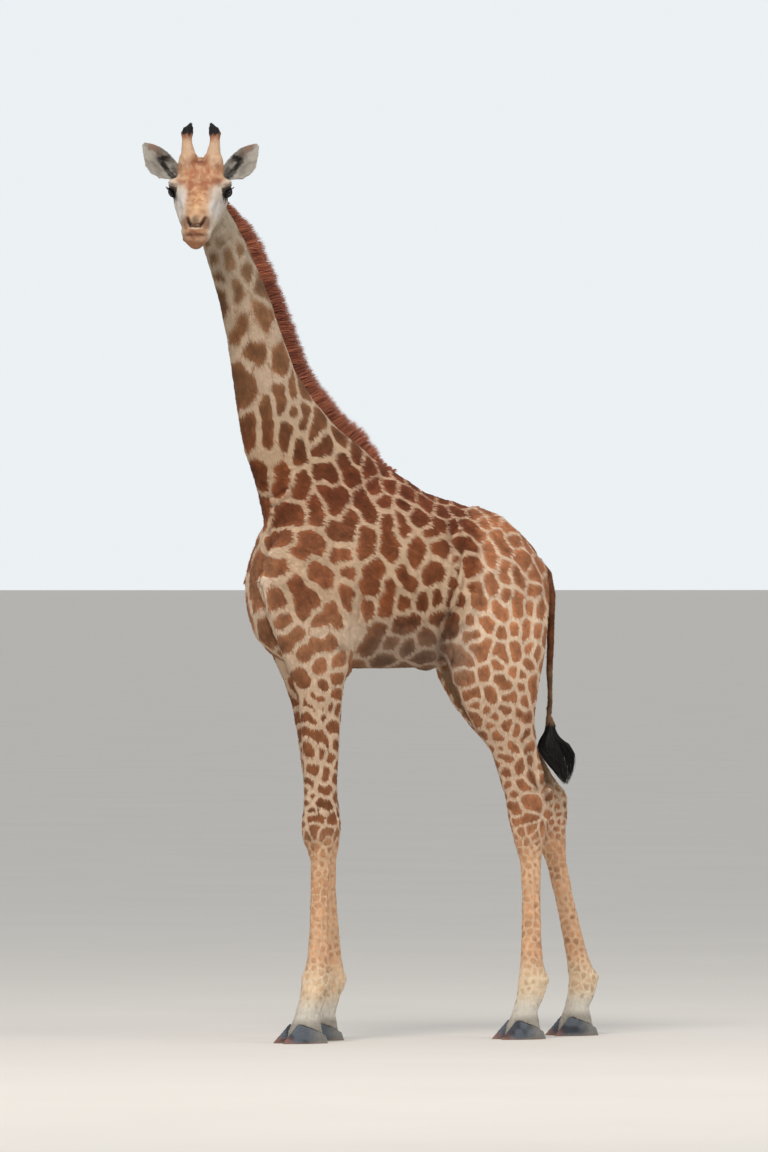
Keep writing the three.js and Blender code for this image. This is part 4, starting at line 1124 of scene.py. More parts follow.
# Marks on the face as seen from straight ahead: across and down from midway between the eyes,
# half width and half height, colour and strength.
FACE_MARKS = (
    (-0.008, -0.137, 0.036, 0.017, (104, 52, 34), 0.9), (-0.034, -0.128, 0.012, 0.014, (140, 80, 54), 0.65),
    (0.024, -0.128, 0.012, 0.013, (140, 80, 54), 0.65), (-0.031, -0.072, 0.020, 0.024, (158, 92, 60), 0.6),
    (0.021, -0.092, 0.018, 0.020, (164, 98, 66), 0.5), (0.016, -0.034, 0.075, 0.017, (148, 88, 60), 0.62),
    (0.077, -0.043, 0.026, 0.014, (138, 82, 56), 0.65), (-0.081, -0.037, 0.028, 0.010, (154, 98, 68), 0.55),
    (-0.036, 0.000, 0.011, 0.034, (148, 90, 60), 0.75), (0.038, -0.006, 0.008, 0.038, (158, 102, 72), 0.6),
    (0.055, 0.018, 0.008, 0.020, (146, 108, 84), 0.5), (0.001, 0.022, 0.022, 0.040, (210, 162, 118), 0.55),
    (-0.006, 0.086, 0.024, 0.026, (204, 166, 124), 0.6),
    (-0.083, 0.057, 0.026, 0.056, (206, 197, 190), 0.9), (0.087, 0.076, 0.036, 0.064, (196, 185, 176), 0.9),
    (0.071, 0.070, 0.020, 0.020, (212, 205, 198), 0.5),
    (-0.105, -0.062, 0.030, 0.014, (216, 188, 158), 0.55),
    (0.112, -0.066, 0.026, 0.014, (208, 176, 146), 0.5), (-0.053, 0.154, 0.015, 0.030, (124, 84, 58), 0.8),
    (0.048, 0.150, 0.014, 0.032, (120, 82, 58), 0.8), (-0.036, 0.105, 0.016, 0.013, (146, 104, 74), 0.6),
    (0.026, 0.102, 0.016, 0.013, (146, 104, 74), 0.6), (-0.002, 0.138, 0.015, 0.018, (96, 80, 66), 0.8),
    # The first mark below, black, is painted shade under the nose.
    (0.000, 0.160, 0.020, 0.006, (44, 34, 30), 0.85), (-0.002, 0.187, 0.030, 0.009, (164, 112, 82), 0.65),
    (-0.004, 0.206, 0.027, 0.015, (96, 44, 28), 0.85), (-0.008, 0.219, 0.013, 0.010, (108, 54, 36), 0.75),
    (-0.006, 0.244, 0.040, 0.014, (172, 116, 82), 0.65),
    (-0.062, 0.185, 0.009, 0.018, (208, 180, 150), 0.75),
    (0.064, 0.195, 0.011, 0.024, (210, 192, 172), 0.8), (-0.108, 0.032, 0.010, 0.014, (34, 26, 22), 0.85),
    (0.116, 0.032, 0.010, 0.014, (34, 26, 22), 0.85), (-0.122, -0.024, 0.022, 0.009, (78, 52, 38), 0.8),
    (0.126, -0.024, 0.022, 0.009, (78, 52, 38), 0.8),
)
NOSTRIL_SEEN = ((0.039, 0.128, 0.0), (0.033, 0.147, 0.0), (0.023, 0.165, 0.0))
FACE_COLOUR = (208, 190, 170)
LIP_LINE = ((-0.032, 0.158, 0.0), (-0.030, 0.175, 0.0), (0.0, 0.178, 0.0),
            (0.029, 0.175, 0.0), (0.030, 0.158, 0.0))
NOSE_SHADE_LINE = ((-0.024, 0.166, 0.0), (0.0, 0.168, 0.0), (0.024, 0.166, 0.0))
FACE_SLOPE = (0.6157, 0.788)  # how far a step forwards goes down in that view, and a step up goes up


def seen_distance(across, down, path):
    """Distance from a path in that view of the face."""
    gap, _ = path_distance(np.stack([across, down, np.zeros(len(across))], -1), path)
    return gap


def face_tints(points, x, forward, up, down):
    """The face's regions: share, tint and strength, and the shares of its blaze and muzzle."""
    side = np.abs(x)
    width = 0.040 + 0.072 * (1 - smooth(forward, -0.04, 0.08))
    edge = side + 0.008 * cloud(points, 0.03, 38)
    blaze = smooth(up, -0.03, 0.035) * (1.0 - smooth(edge, width, width + 0.026))
    poll = smooth(-forward, -0.01, 0.10) * smooth(up, -0.02, 0.05)
    muzzle = smooth(down, 0.125, 0.165) * smooth(forward, 0.18, 0.26) * (1 - smooth(side, 0.045, 0.066))
    chin = smooth(forward, 0.24, 0.33) * (1 - smooth(up, -0.04, 0.0))
    jaw = (1 - smooth(up, -0.10, -0.05)) * (1 - smooth(forward, 0.18, 0.27))
    stem = smooth(up, 0.085, 0.12) * smooth(side, 0.025, 0.05) * (1 - smooth(forward, -0.02, 0.02))
    rows = (
        (blaze, (186, 134, 98), 0.92), (blaze * smooth(down, 0.0, 0.06), (196, 160, 124), 0.7),
        (poll, (186, 138, 102), 0.8), (muzzle, (152, 112, 82), 0.75), (chin, (158, 108, 76), 0.75),
        (jaw, (190, 172, 150), 0.8), (stem, STEM_COLOUR, 0.8),
    )
    return rows, blaze, muzzle


def face_marks(points, x, forward, up, down):
    """The single marks, a little ragged at their borders."""
    across = x + 0.006 * cloud(points, 0.020, 36)
    lower = down + 0.008 * cloud(points, 0.024, 37)
    ahead = smooth(forward, -0.12, -0.06) * smooth(up, -0.11, -0.05)
    for mark_x, mark_down, wide, high, tint, strength in FACE_MARKS:
        gap = ((across - mark_x) / wide) ** 2 + ((lower - mark_down) / high) ** 2
        yield np.exp(-0.7 * gap ** 1.4) * ahead, tint, strength


def face_speckles(points, blaze, muzzle, down):
    """Small blotches of darker and paler hair."""
    warm = blaze * (1 - smooth(down, 0.06, 0.12))
    blotch = smooth(cloud(points, 0.018, 31) + 0.6 * cloud(points, 0.008, 32), 0.05, 0.60)
    pale = smooth(-cloud(points, 0.016, 39) - 0.4 * cloud(points, 0.007, 40), 0.15, 0.65)
    speckled = muzzle * smooth(cloud(points, 0.007, 45), 0.1, 0.6) * (1 - smooth(down, 0.16, 0.19))
    return (
        (blotch * warm, (146, 84, 54), 0.45),
        (pale * np.maximum(warm, 0.4 * muzzle), (222, 188, 152), 0.35),
        (speckled, (112, 72, 48), 0.5),
    )


def paint_face(points, x, forward, up):
    """Orange-tan forehead and nose, cream cheeks, brown muzzle and the face's marks, with painted shade
    under the nose and in the nostril slits.
    """
    down = forward * FACE_SLOPE[0] - up * FACE_SLOPE[1]
    rows, blaze, muzzle = face_tints(points, x, forward, up, down)
    face = tinted(plain(FACE_COLOUR, len(points)), rows)
    face = tinted(face, face_marks(points, x, forward, up, down))
    face = tinted(face, face_speckles(points, blaze, muzzle, down))
    front = (up > -0.01) * smooth(forward, 0.28, 0.30)
    lip = (1.0 - smooth(seen_distance(x, down, LIP_LINE), 0.0014, 0.0042)) * front
    # Painted shade: a black line across under the nostrils.
    seam = (1.0 - smooth(seen_distance(x, down, NOSE_SHADE_LINE), 0.002, 0.005)) * front
    face = tinted(face, ((lip, (226, 208, 188), 0.55), (seam, (34, 27, 25), 0.92)))
    face = face * (1.0 + 0.07 * cloud(points, 0.028, 34) + 0.06 * cloud(points, 0.006, 35))[:, None]
    # Round each nostril a brown border, and the slit painted black as shade inside it.
    slit = seen_distance(np.abs(x), down, NOSTRIL_SEEN)
    nose = smooth(forward, 0.20, 0.23) * smooth(up, -0.01, 0.0)
    return tinted(face, ((nose * (1.0 - smooth(slit, 0.006, 0.015)), (96, 62, 44), 0.75),
                         (nose * (1.0 - smooth(slit, 0.0012, 0.0068)), (16, 12, 11), 0.92)))


def paint_head(points, patch, ground):
    """The face's colours over the body's, with dark nostrils, mouth and rims of the eyes."""
    head = head_share(points)
    local = to_head(points)
    x, forward, up = local[:, 0], -local[:, 1], local[:, 2]
    face = paint_face(points, x, forward, up)
    mouth, _ = path_distance(np.stack([np.abs(x), forward, up], -1), MOUTH)
    face = tinted(face, [(1.0 - smooth(mouth, 0.002, 0.007), (96, 52, 36), 0.5)])
    for _, side in SIDES:
        measure, distance, ahead = lid_measure(points, side)
        rim = (1.0 - smooth(measure, 1.22, 1.62)) * (distance < 0.062) * (ahead > 0)
        face = tinted(face, [(rim, (40, 30, 25), 0.95)])
    return [colour * (1.0 - head)[:, None] + face * head[:, None] for colour in (patch, ground)]


def lay_patches(mesh, sight):
    """How deep in its patch each point lies, and that patch's tone, 0 to 1."""
    points = get_points(mesh)
    flat, gaps = pattern_space(points), spacing_at(points)
    places, numbers = placed_seeds(sight)
    taken = pattern_space(places)
    near_side = get_normals(mesh) @ VIEW_BACK > 0.22
    near_side &= (points[:, 2] > PLACED_LOW) & (points[:, 2] < PLACED_HIGH)
    near_side &= (points[:, 2] > LEGS_PART) | (points[:, 0] > TRUNK_AT[0])
    seeds = scatter_seeds(flat, gaps, ~near_side, taken)
    numbers = np.concatenate([numbers, numbers.max() + 1 + np.arange(len(seeds))])
    border, own = measure_patches(flat, np.concatenate([taken, flat[seeds]]), numbers, gaps)
    tones = rng.random(numbers.max() + 1)
    return border, tones[np.maximum(own, 0)]


# Painted shade: the colours darkened along each fold, as shade in its crease.
def paint_fold_shade(points, colours, folds):
    for path, reach, _, dark in folds:
        gap, _ = path_distance(points, path)
        shade = dark * np.exp(-(gap / (0.55 * reach)) ** 2)
        colours = [colour * (1.0 - shade[:, None] * (0.85, 0.95, 1.0)) for colour in colours]
    return colours


def plain_shaded_insides(points, normals, colours):
    """The insides of the thighs carry plain brown hair, painted darker as shade between the legs."""
    local = points - TRUNK_AT
    inwards = smooth(-normals[:, 0] * np.sign(local[:, 0]), 0.10, 0.50)
    inner = inwards * smooth(local[:, 1], 0.15, 0.30) * between(local[:, 2], 1.12, 1.74, 0.12)
    return [blend_colours(colour, srgb(124, 96, 68), 0.9 * inner) for colour in colours]


def mark_skin(mesh, sight, folds):
    points = get_points(mesh)
    border, tone = lay_patches(mesh, sight)
    patch, ground, inside = paint_body(points, border, tone)
    patch, ground = plain_shaded_insides(points, get_normals(mesh), (patch, ground))
    patch, ground = paint_fold_shade(points, (patch, ground), folds)
    patch, ground = paint_head(points, patch, ground)
    set_colour(mesh, "patch", patch)
    set_colour(mesh, "ground", ground)
    set_value(mesh, "inside", inside)
    return patch, ground, inside


# ------------------------------------------------------------------ materials

class Nodes:
    """A material's node tree, built in short calls."""

    def __init__(self, name):
        self.material = bpy.data.materials.new(name)
        self.material.use_nodes = True
        self.tree = self.material.node_tree
        self.shader = self.tree.nodes["Principled BSDF"]

    def add(self, kind, **settings):
        node = self.tree.nodes.new(kind)
        for key, value in settings.items():
            setattr(node, key, value)
        return node

    def link(self, source, target):
        self.tree.links.new(source, target)

    def feed(self, target, value):
        if isinstance(value, bpy.types.NodeSocket):
            self.link(value, target)
        else:
            target.default_value = value

    def noise(self, scale, detail=3.0, rough=0.55):
        node = self.add("ShaderNodeTexNoise")
        self.link(self.add("ShaderNodeTexCoord").outputs["Object"], node.inputs["Vector"])
        node.inputs["Scale"].default_value = scale
        node.inputs["Detail"].default_value = detail
        node.inputs["Roughness"].default_value = rough
        return node.outputs["Fac"]

    def attribute(self, name, output):
        return self.add("ShaderNodeAttribute", attribute_name=name).outputs[output]

    def math(self, operation, first, second):
        node = self.add("ShaderNodeMath", operation=operation)
        self.feed(node.inputs[0], first)
        self.feed(node.inputs[1], second)
        return node.outputs[0]

    def fit(self, value, low, high, to_low=0.0, to_high=1.0):
        node = self.add("ShaderNodeMapRange", interpolation_type="SMOOTHSTEP")
        self.feed(node.inputs["Value"], value)
        keys = ("From Min", "From Max", "To Min", "To Max")
        for key, number in zip(keys, (low, high, to_low, to_high)):
            node.inputs[key].default_value = number
        return node.outputs["Result"]

    def mix(self, share, first, second):
        node = self.add("ShaderNodeMix", data_type="RGBA")
        self.feed(node.inputs["Factor"], share)
        self.feed(node.inputs["A"], first)
        self.feed(node.inputs["B"], second)
        return node.outputs["Result"]

    def scale(self, colour, value):
        """The colour made lighter or darker by value."""
        node = self.add("ShaderNodeVectorMath", operation="SCALE")
        self.feed(node.inputs[0], colour)
        self.feed(node.inputs["Scale"], value)
        return node.outputs[0]

    def bump(self, height, strength, distance):
        node = self.add("ShaderNodeBump")
        self.link(height, node.inputs["Height"])
        node.inputs["Strength"].default_value = strength
        node.inputs["Distance"].default_value = distance
        self.link(node.outputs["Normal"], self.shader.inputs["Normal"])

    def finish(self, colour, roughness, sheen=0.0, coat=0.0, specular=0.5):
        self.feed(self.shader.inputs["Base Color"], colour)
        self.feed(self.shader.inputs["Roughness"], roughness)
        self.shader.inputs["Sheen Weight"].default_value = sheen
        self.shader.inputs["Sheen Roughness"].default_value = 0.5
        self.shader.inputs["Specular IOR Level"].default_value = specular
        self.shader.inputs["Coat Weight"].default_value = coat
        return self.material


def rgba(colour):
    return (*[float(v) for v in colour], 1.0)


def coat_material(name, ragged, bump):
    """Patches over the ground colour, with ragged hairy borders and fine streaks."""
    nodes = Nodes(name)
    fray = nodes.noise(150.0, 4.0, 0.65)
    edge = nodes.math("ADD", nodes.attribute("inside", "Fac"),
                      nodes.math("MULTIPLY", nodes.math("SUBTRACT", fray, 0.5), ragged))
    share = nodes.fit(edge, -0.0022, 0.0030)
    colour = nodes.mix(share, nodes.attribute("ground", "Color"), nodes.attribute("patch", "Color"))
    speckle = nodes.fit(nodes.noise(520.0, 3.0, 0.6), 0.30, 0.70, 0.88, 1.10)
    nodes.bump(nodes.noise(700.0, 3.0, 0.6), bump, 0.002)
    return nodes.finish(nodes.scale(colour, speckle), 0.85, sheen=0.05, specular=0.2)


# ------------------------------------------------------------------ unwrapping

def trunk_local(axes, points):
    middle = axes["trunk"].middle(points[:, 1])
    return points[:, 0] - middle[:, 0], points[:, 2] - middle[:, 1], points[:, 1]


def limb_local(axes, group, points):
    middle = axes[group].middle(points[:, 2])
    return points[:, 0] - middle[:, 0], points[:, 1] - middle[:, 1], points[:, 2]


def head_local(points):
    local = to_head(points)
    return local[:, 0], local[:, 2] + 0.02 + 0.1 * np.clip(-local[:, 1], 0, 0.35), local[:, 1]


def wrap(axes, group, points):
    """Place of each point on its group's unwrap: the way round and the way along, both 0 to 1."""
    if group == "trunk":
        side, up, along = trunk_local(axes, points)
        low, high = -0.72, 0.90
    elif group == "head":
        side, up, along = head_local(points)
        low, high = -0.40, 0.26
    else:
        side, up, along = limb_local(axes, group, points)
        low, high = {"neck": (2.3, 3.95), "tail": (1.4, 2.35)}.get(group, (0.0, 2.45))
    turn = np.arctan2(side, up) / (2 * np.pi) + 0.5
    return np.stack([turn, np.clip((along - low) / (high - low), 0, 1)], -1)


# ------------------------------------------------------------------ tufts and locks

PATCH = 0.003  # size of a tuft's place on the unwrap
ROOT_DEPTH = 0.0012  # how far a tuft's root is sunk in the skin
TUFT_PATCH = np.array(((-0.5, -0.5), (0.5, -0.5), (0.0, 0.0), (0.0, 0.5))) * PATCH
TUFT_FACES = np.array(((0, 2, 1), (0, 3, 2), (1, 2, 3), (0, 1, 3)))


class Sample:
    """Random places on a mesh, with their normals and the values stored at its points."""

    def __init__(self, mesh, keep_face, count):
        mesh.calc_loop_triangles()
        corners = np.zeros(len(mesh.loop_triangles) * 3, np.int32)
        mesh.loop_triangles.foreach_get("vertices", corners)
        corners = corners.reshape(-1, 3)
        points, normals = get_points(mesh), get_normals(mesh)
        corners = corners[keep_face[corners].all(1)]
        a, b, c = (points[corners[:, i]] for i in range(3))
        area = np.linalg.norm(np.cross(b - a, c - a), axis=1) / 2
        pick = rng.choice(len(corners), count, p=area / area.sum())
        first, second = rng.random((2, count))
        flip = first + second > 1
        first[flip], second[flip] = 1 - first[flip], 1 - second[flip]
        self.shares = np.stack([1 - first - second, first, second], -1)
        self.corners = corners[pick]
        self.points = self.at(points)
        self.normals = unit(self.at(normals))

    def at(self, values):
        return np.einsum("ij,ij...->i...", self.shares, values[self.corners])


def finished_mesh(name, points, faces, normals, places, values):
    """A mesh of small closed pieces with given normals, unwrap places and stored values."""
    mesh = bpy.data.meshes.new(name)
    mesh.vertices.add(len(points))
    mesh.vertices.foreach_set("co", np.asarray(points, np.float32).ravel())
    mesh.loops.add(faces.size)
    mesh.loops.foreach_set("vertex_index", faces.ravel().astype(np.int32))
    mesh.polygons.add(len(faces))
    mesh.polygons.foreach_set("loop_start", np.arange(len(faces), dtype=np.int32) * 3)
    mesh.polygons.foreach_set("loop_total", np.full(len(faces), 3, np.int32))
    mesh.update(calc_edges=True)
    set_smooth(mesh)
    layer = mesh.uv_layers.new(name="OFBake")
    layer.data.foreach_set("uv", places[faces.ravel()].astype(np.float32).ravel())
    for key, value in values.items():
        (set_value if value.ndim == 1 else set_colour)(mesh, key, value)
    mesh.normals_split_custom_set_from_vertices(np.asarray(normals, np.float32))
    return new_object(name, mesh)


def tufts(name, roots, ways, normals, lengths, widths, lifts, places, values):
    """Flat closed tufts of four triangles: two root corners, a ridge and a tip."""
    side = unit(np.cross(normals, ways))
    ways = unit(np.cross(side, normals))
    sunk = normals * ROOT_DEPTH
    points = np.stack([
        roots - side * widths[:, None] / 2 - sunk,
        roots + side * widths[:, None] / 2 - sunk,
        roots + ways * (0.42 * lengths)[:, None] + normals * (0.75 * lifts)[:, None],
        roots + ways * lengths[:, None] + normals * lifts[:, None]], 1)
    shading = np.stack([
        normals - 0.45 * side, normals + 0.45 * side, normals - 0.1 * ways, normals + 0.22 * ways], 1)
    count = len(roots)
    faces = (np.arange(count)[:, None, None] * 4 + TUFT_FACES).reshape(-1, 3)
    unwrapped = (places[:, None] + TUFT_PATCH).reshape(-1, 2)
    spread = {key: np.repeat(value, 4, axis=0) for key, value in values.items()}
    return finished_mesh(name, points.reshape(-1, 3), faces, unit(shading.reshape(-1, 3)),
                         np.clip(unwrapped, 0, 1), spread)


def locks(name, paths, widths, places, values, flat=0.5):
    """Closed three-sided locks along paths of shape (locks, steps, 3), ending in a point."""
    count, steps = paths.shape[:2]
    way = unit(np.gradient(paths, axis=1))
    lean = unit(rng.normal(size=(count, 1, 3)))
    side = unit(np.cross(way, lean))
    out = np.cross(side, way)
    ring = []
    for number in range(3):
        turn = 2 * np.pi * number / 3
        offset = math.cos(turn) * side + flat * math.sin(turn) * out
        ring.append(paths + offset * (widths / 2)[:, :, None])
    body = np.stack(ring, 2)[:, :-1]
    radial = unit(body - paths[:, :-1, None])
    points = np.concatenate([body.reshape(count, -1, 3), paths[:, -1:]], 1)
    normals = np.concatenate([radial.reshape(count, -1, 3), way[:, -1:]], 1)
    per = 3 * (steps - 1) + 1
    faces = [(0, 1, 2)]
    for step in range(steps - 2):
        for number in range(3):
            a, b = step * 3 + number, step * 3 + (number + 1) % 3
            faces += [(a, b + 3, b), (a, a + 3, b + 3)]
    last = (steps - 2) * 3
    faces += [(last + (number + 1) % 3, last + number, per - 1) for number in range(3)]
    faces = (np.arange(count)[:, None, None] * per + np.array(faces)).reshape(-1, 3)
    offsets = rng.uniform(-0.5, 0.5, (per, 2)) * PATCH
    unwrapped = (places[:, None] + offsets).reshape(-1, 2)
    along = np.tile(np.append(np.repeat(np.linspace(0, 1, steps)[:-1], 3), 1.0), count)
    spread = {key: np.repeat(value, per, axis=0) for key, value in values.items()}
    spread["along"] = along
    return finished_mesh(name, points.reshape(-1, 3), faces, unit(normals.reshape(-1, 3)),
                         np.clip(unwrapped, 0, 1), spread)


# ------------------------------------------------------------------ coat

# Number of tufts, and the length and width of one, for each part of the flesh.
COAT = {
    "trunk": (41000, 0.021, 0.0041),
    "neck": (40000, 0.021, 0.0039),
    "head": (38000, 0.0085, 0.0020),
    "leg": (25000, 0.015, 0.0032),
    "tail": (5000, 0.014, 0.0026),
}
TUFT_LIFT = 0.0030
HEAD_LIFT = 0.45  # lift of the head's tufts beside the others


def lie_of_coat(points, normals, group):
    """The way the hair lies at each point."""
    count = len(points)
    if group == "head":
        local = to_head(points)
        way = np.stack([0.25 * np.sign(local[:, 0]), np.ones(count), 0.15 + 2.0 * local[:, 2]], -1)
        way = way @ HEAD_AXES.T
    elif group == "trunk":
        local = points - TRUNK_AT
        low = 1.0 - smooth(local[:, 2], 1.8, 2.4)
        way = np.stack([np.zeros(count), 0.85 - 0.3 * low, -0.45 - 0.45 * low], -1)
    elif group == "neck":
        way = np.tile((0.0, 0.32, -0.95), (count, 1))
    else:
        way = np.tile((0.0, 0.16, -1.0), (count, 1))
    swirl = np.stack([cloud(points, 0.09, 41 + axis) for axis in range(3)], -1)
    way = way + 0.22 * swirl + 0.16 * rng.normal(size=(count, 3))
    return unit(way - normals * np.sum(way * normals, 1, keepdims=True))


def bare_places(points):
    """True where no tufts grow: eyes' openings, horns, nostrils, the lips' seam and soles."""
    local = to_head(points)
    folded = np.stack([np.abs(local[:, 0]), -local[:, 1], local[:, 2]], -1)
    slit, _ = path_distance(folded, NOSTRIL)
    seam, _ = path_distance(folded, MOUTH)
    bare = (slit < 0.011) | (seam < 0.006) | (points[:, 2] < 0.02)
    for _, side in SIDES:
        bare |= (horn_share(points, side) > 0.42) & (head_share(points) > 0.5) & (local[:, 2] > 0.14)
        measure, distance, ahead = lid_measure(points, side)
        bare |= (measure < 1.45) & (distance < 0.06) & (ahead > -0.01)
    return bare


def tuft_size(points, group):
    """Random size of the tufts, smaller down the legs and towards the nose."""
    size = rng.uniform(0.75, 1.25, len(points))
    if group in LEG_NAMES:
        size = size * (0.72 + 0.28 * smooth(points[:, 2], 0.5, 1.5))
    if group == "head":
        size = size * (1.15 - 0.5 * smooth(-to_head(points)[:, 1], 0.05, 0.30))
    return size


def varied(colours, spread):
    """The colours, each made lighter or darker at random."""
    return colours * rng.uniform(1.0 - spread, 1.0 + spread, len(colours))[:, None]


def grow_piece(name, group, mesh, mine, axes, colours):
    """Tufts over the part of the skin where mine is true."""
    count, length, width = COAT.get(group, COAT["leg"])
    sample = Sample(mesh, mine, count)
    size = tuft_size(sample.points, group)
    ways = lie_of_coat(sample.points, sample.normals, group)
    lift = TUFT_LIFT * (HEAD_LIFT if group == "head" else 1.0)
    lifts = lift * rng.uniform(0.5, 1.2, count) * size
    patch, ground, inside = (sample.at(values) for values in colours)
    values = {"patch": varied(patch, 0.12), "ground": varied(ground, 0.08), "inside": inside}
    return tufts(name, sample.points, ways, sample.normals, length * size, width * size,
                 lifts, wrap(axes, group, sample.points), values)


def grow_coat(mesh, axes, owner, colours):
    points = get_points(mesh)
    areas = [("coat_trunk_left", "trunk", points[:, 0] > TRUNK_AT[0]),
             ("coat_trunk_right", "trunk", points[:, 0] <= TRUNK_AT[0])]
    areas += [(f"coat_{group}", group, np.ones(len(points), bool)) for group in GROUP_LIST[1:]]
    haired = ~bare_places(points)
    return [grow_piece(name, group, mesh, haired & part & (owner == GROUP_LIST.index(group)), axes, colours)
            for name, group, part in areas]


# ------------------------------------------------------------------ mane and tail tuft

MANE_LOCKS = 7600
MANE_LENGTH = 0.092
MANE_LOW, MANE_HIGH = 2.60, 3.90
MANE_SPREAD = 0.015
MANE_CLUMPS = 1.1  # pointed clumps of hair for each step of the crest line


def crest_line(mesh):
    """Points on top of the neck's crest, from the withers to the poll."""
    tree = surface_tree(mesh)
    line = []
    for level in np.linspace(MANE_LOW, MANE_HIGH, 90):
        x = float(np.interp(level, (2.6, 3.4, 3.9), (0.0, 0.004, 0.034))) + TRUNK_AT[0]
        hit = tree.ray_cast(Vector((x, 2.0, level)), Vector((0.0, -1.0, 0.0)))
        line.append(hit[0])
    return np.array(line)


def mane_height(levels):
    rise = smooth(levels, 2.56, 2.76)
    fade = smooth(levels, 3.62, 3.90)
    return MANE_LENGTH * (np.maximum(rise, 0.25) - 0.72 * fade)


def mane_length(levels, across, clump):
    """Lengths of the locks, shorter at the mane's edges and ends."""
    length = mane_height(levels) * (1.0 - 0.16 * np.abs(across)) * rng.uniform(0.80, 1.04, len(levels))
    return length * (1.0 + 0.10 * clump)


def mane_paths(root, outward, down, across, clump, length, gather):
    """Locks that stand out from the crest, lean down it and draw together in clumps."""
    count = len(root)
    steps = np.linspace(0, 1, 4)
    lean = 0.10 + 0.10 * rng.normal(size=count) + 0.12 * clump
    side = 0.20 * across + 0.07 * rng.normal(size=count)
    direction = unit(outward + down * lean[:, None] + LEFT * side[:, None])
    paths = root[:, None] + direction[:, None] * (steps[None, :] * (length + 0.008)[:, None])[..., None]
    paths = paths - down[:, None] * (gather[:, None] * steps[None, :] ** 1.5)[..., None]
    return paths + down[:, None] * (0.012 * steps[None, :] ** 2)[..., None]


def build_mane(mesh, axes):
    line = crest_line(mesh)
    way = unit(np.gradient(line, axis=0))
    out = unit(np.cross(way, LEFT))
    out = out * np.sign(out[:, 1:2])
    place = rng.uniform(0, len(line) - 1.001, MANE_LOCKS)
    base, part = place.astype(int), (place % 1.0)[:, None]
    root = line[base] * (1 - part) + line[base + 1] * part
    across = np.clip(rng.normal(0, 0.5, MANE_LOCKS), -1, 1)
    clump = cloud(root, 0.016, 51)
    gather = (np.round(place * MANE_CLUMPS) / MANE_CLUMPS - place) * rng.uniform(0.4, 1.0, MANE_LOCKS)
    gather = gather * np.linalg.norm(line[base + 1] - line[base], axis=1)
    length = mane_length(root[:, 2], across, clump)
    root = root + LEFT * (across * MANE_SPREAD)[:, None]
    root = root - out[base] * (0.008 + 0.006 * across ** 2)[:, None]
    paths = mane_paths(root, out[base], -way[base], across, clump, length, gather)
    widths = 0.0042 * rng.uniform(0.7, 1.3, MANE_LOCKS)[:, None] * np.array((1.0, 0.95, 0.7, 0.1))[None]
    dusk = between(root[:, 2], 3.02, 3.44, 0.10)
    tone = np.clip(0.66 - 0.30 * dusk + 0.32 * clump + 0.2 * rng.normal(size=MANE_LOCKS), 0, 1)
    return locks("mane_hair", paths, widths, wrap(axes, "neck", root), {"tone": tone})


# Edges of the tail's tuft, from its root down: how far back, and height. Then half its thickness.
TUFT_FRONT = ((0.832, 1.446), (0.826, 1.406), (0.806, 1.369), (0.796, 1.328), (0.836, 1.273),
              (0.883, 1.214), (0.922, 1.163))
TUFT_REAR = ((0.858, 1.446), (0.866, 1.406), (0.886, 1.376), (0.926, 1.350), (0.960, 1.302),
             (0.958, 1.236), (0.934, 1.163))
TUFT_DEEP = (0.014, 0.020, 0.030, 0.038, 0.034, 0.022, 0.006)
TUFT_LOCKS = 1150
TUFT_STEPS = 10


def tuft_ends(count):
    """How far back each lock runs, how far down it ends, and which are loose ones."""
    share = rng.random(count)
    loose = rng.random(count) < 0.30
    share = np.where(loose, 0.45 + 0.55 * share, 0.50 * share)
    share = np.where(rng.random(count) < 0.12, rng.uniform(0.9, 1.0, count), share)
    short, long = rng.uniform(0.7, 1.0, count), np.clip(rng.normal(0.84, 0.14, count), 0.4, 1.0)
    return share, np.where(loose, short, long), loose


def tuft_paths(share, stop):
    """Wavy locks between the tuft's front and rear edges."""
    count = len(share)
    along = stop[:, None] * np.linspace(0, 1, TUFT_STEPS)[None]
    marks = np.linspace(0, 1, len(TUFT_DEEP))
    places = []
    for axis in (0, 1):
        first, last = (np.interp(along, marks, np.array(edge)[:, axis]) for edge in (TUFT_FRONT, TUFT_REAR))
        places.append(first + (last - first) * share[:, None])
    deep = np.interp(along, marks, TUFT_DEEP) * rng.uniform(-1, 1, count)[:, None]
    phase = 6.3 * rng.random(count)[:, None]
    wave = 0.005 * along * np.sin(8.0 * along + phase)
    return np.stack([deep + wave, places[0] + wave, places[1]], -1) + TRUNK_AT


def build_tail_tuft():
    count = TUFT_LOCKS
    share, stop, loose = tuft_ends(count)
    paths = tuft_paths(share, stop)
    taper = np.interp(np.linspace(0, 1, TUFT_STEPS), (0, 0.2, 0.7, 1), (0.8, 1.0, 0.8, 0.1))
    thick = np.where(loose, 0.0032, 0.0064) * rng.uniform(0.7, 1.3, count)
    roots = np.stack([share, 0.1 * rng.random(count)], -1)
    return locks("tail_tuft_hair", paths, thick[:, None] * taper[None], roots, {"tone": rng.random(count)})


def hair_material(name, dark, light, tip, roughness=0.5):
    """Stiff hair: darker and lighter locks, with another colour towards the tips."""
    nodes = Nodes(name)
    tone = nodes.attribute("tone", "Fac")
    base = nodes.mix(tone, rgba(dark), rgba(light))
    share = nodes.fit(nodes.attribute("along", "Fac"), 0.55, 1.1)
    colour = nodes.mix(share, base, rgba(tip))
    streak = nodes.fit(nodes.noise(420.0, 2.0), 0.3, 0.7, 0.80, 1.18)
    return nodes.finish(nodes.scale(colour, streak), roughness, sheen=0.05, specular=0.3)


# ------------------------------------------------------------------ horns, ears and hooves

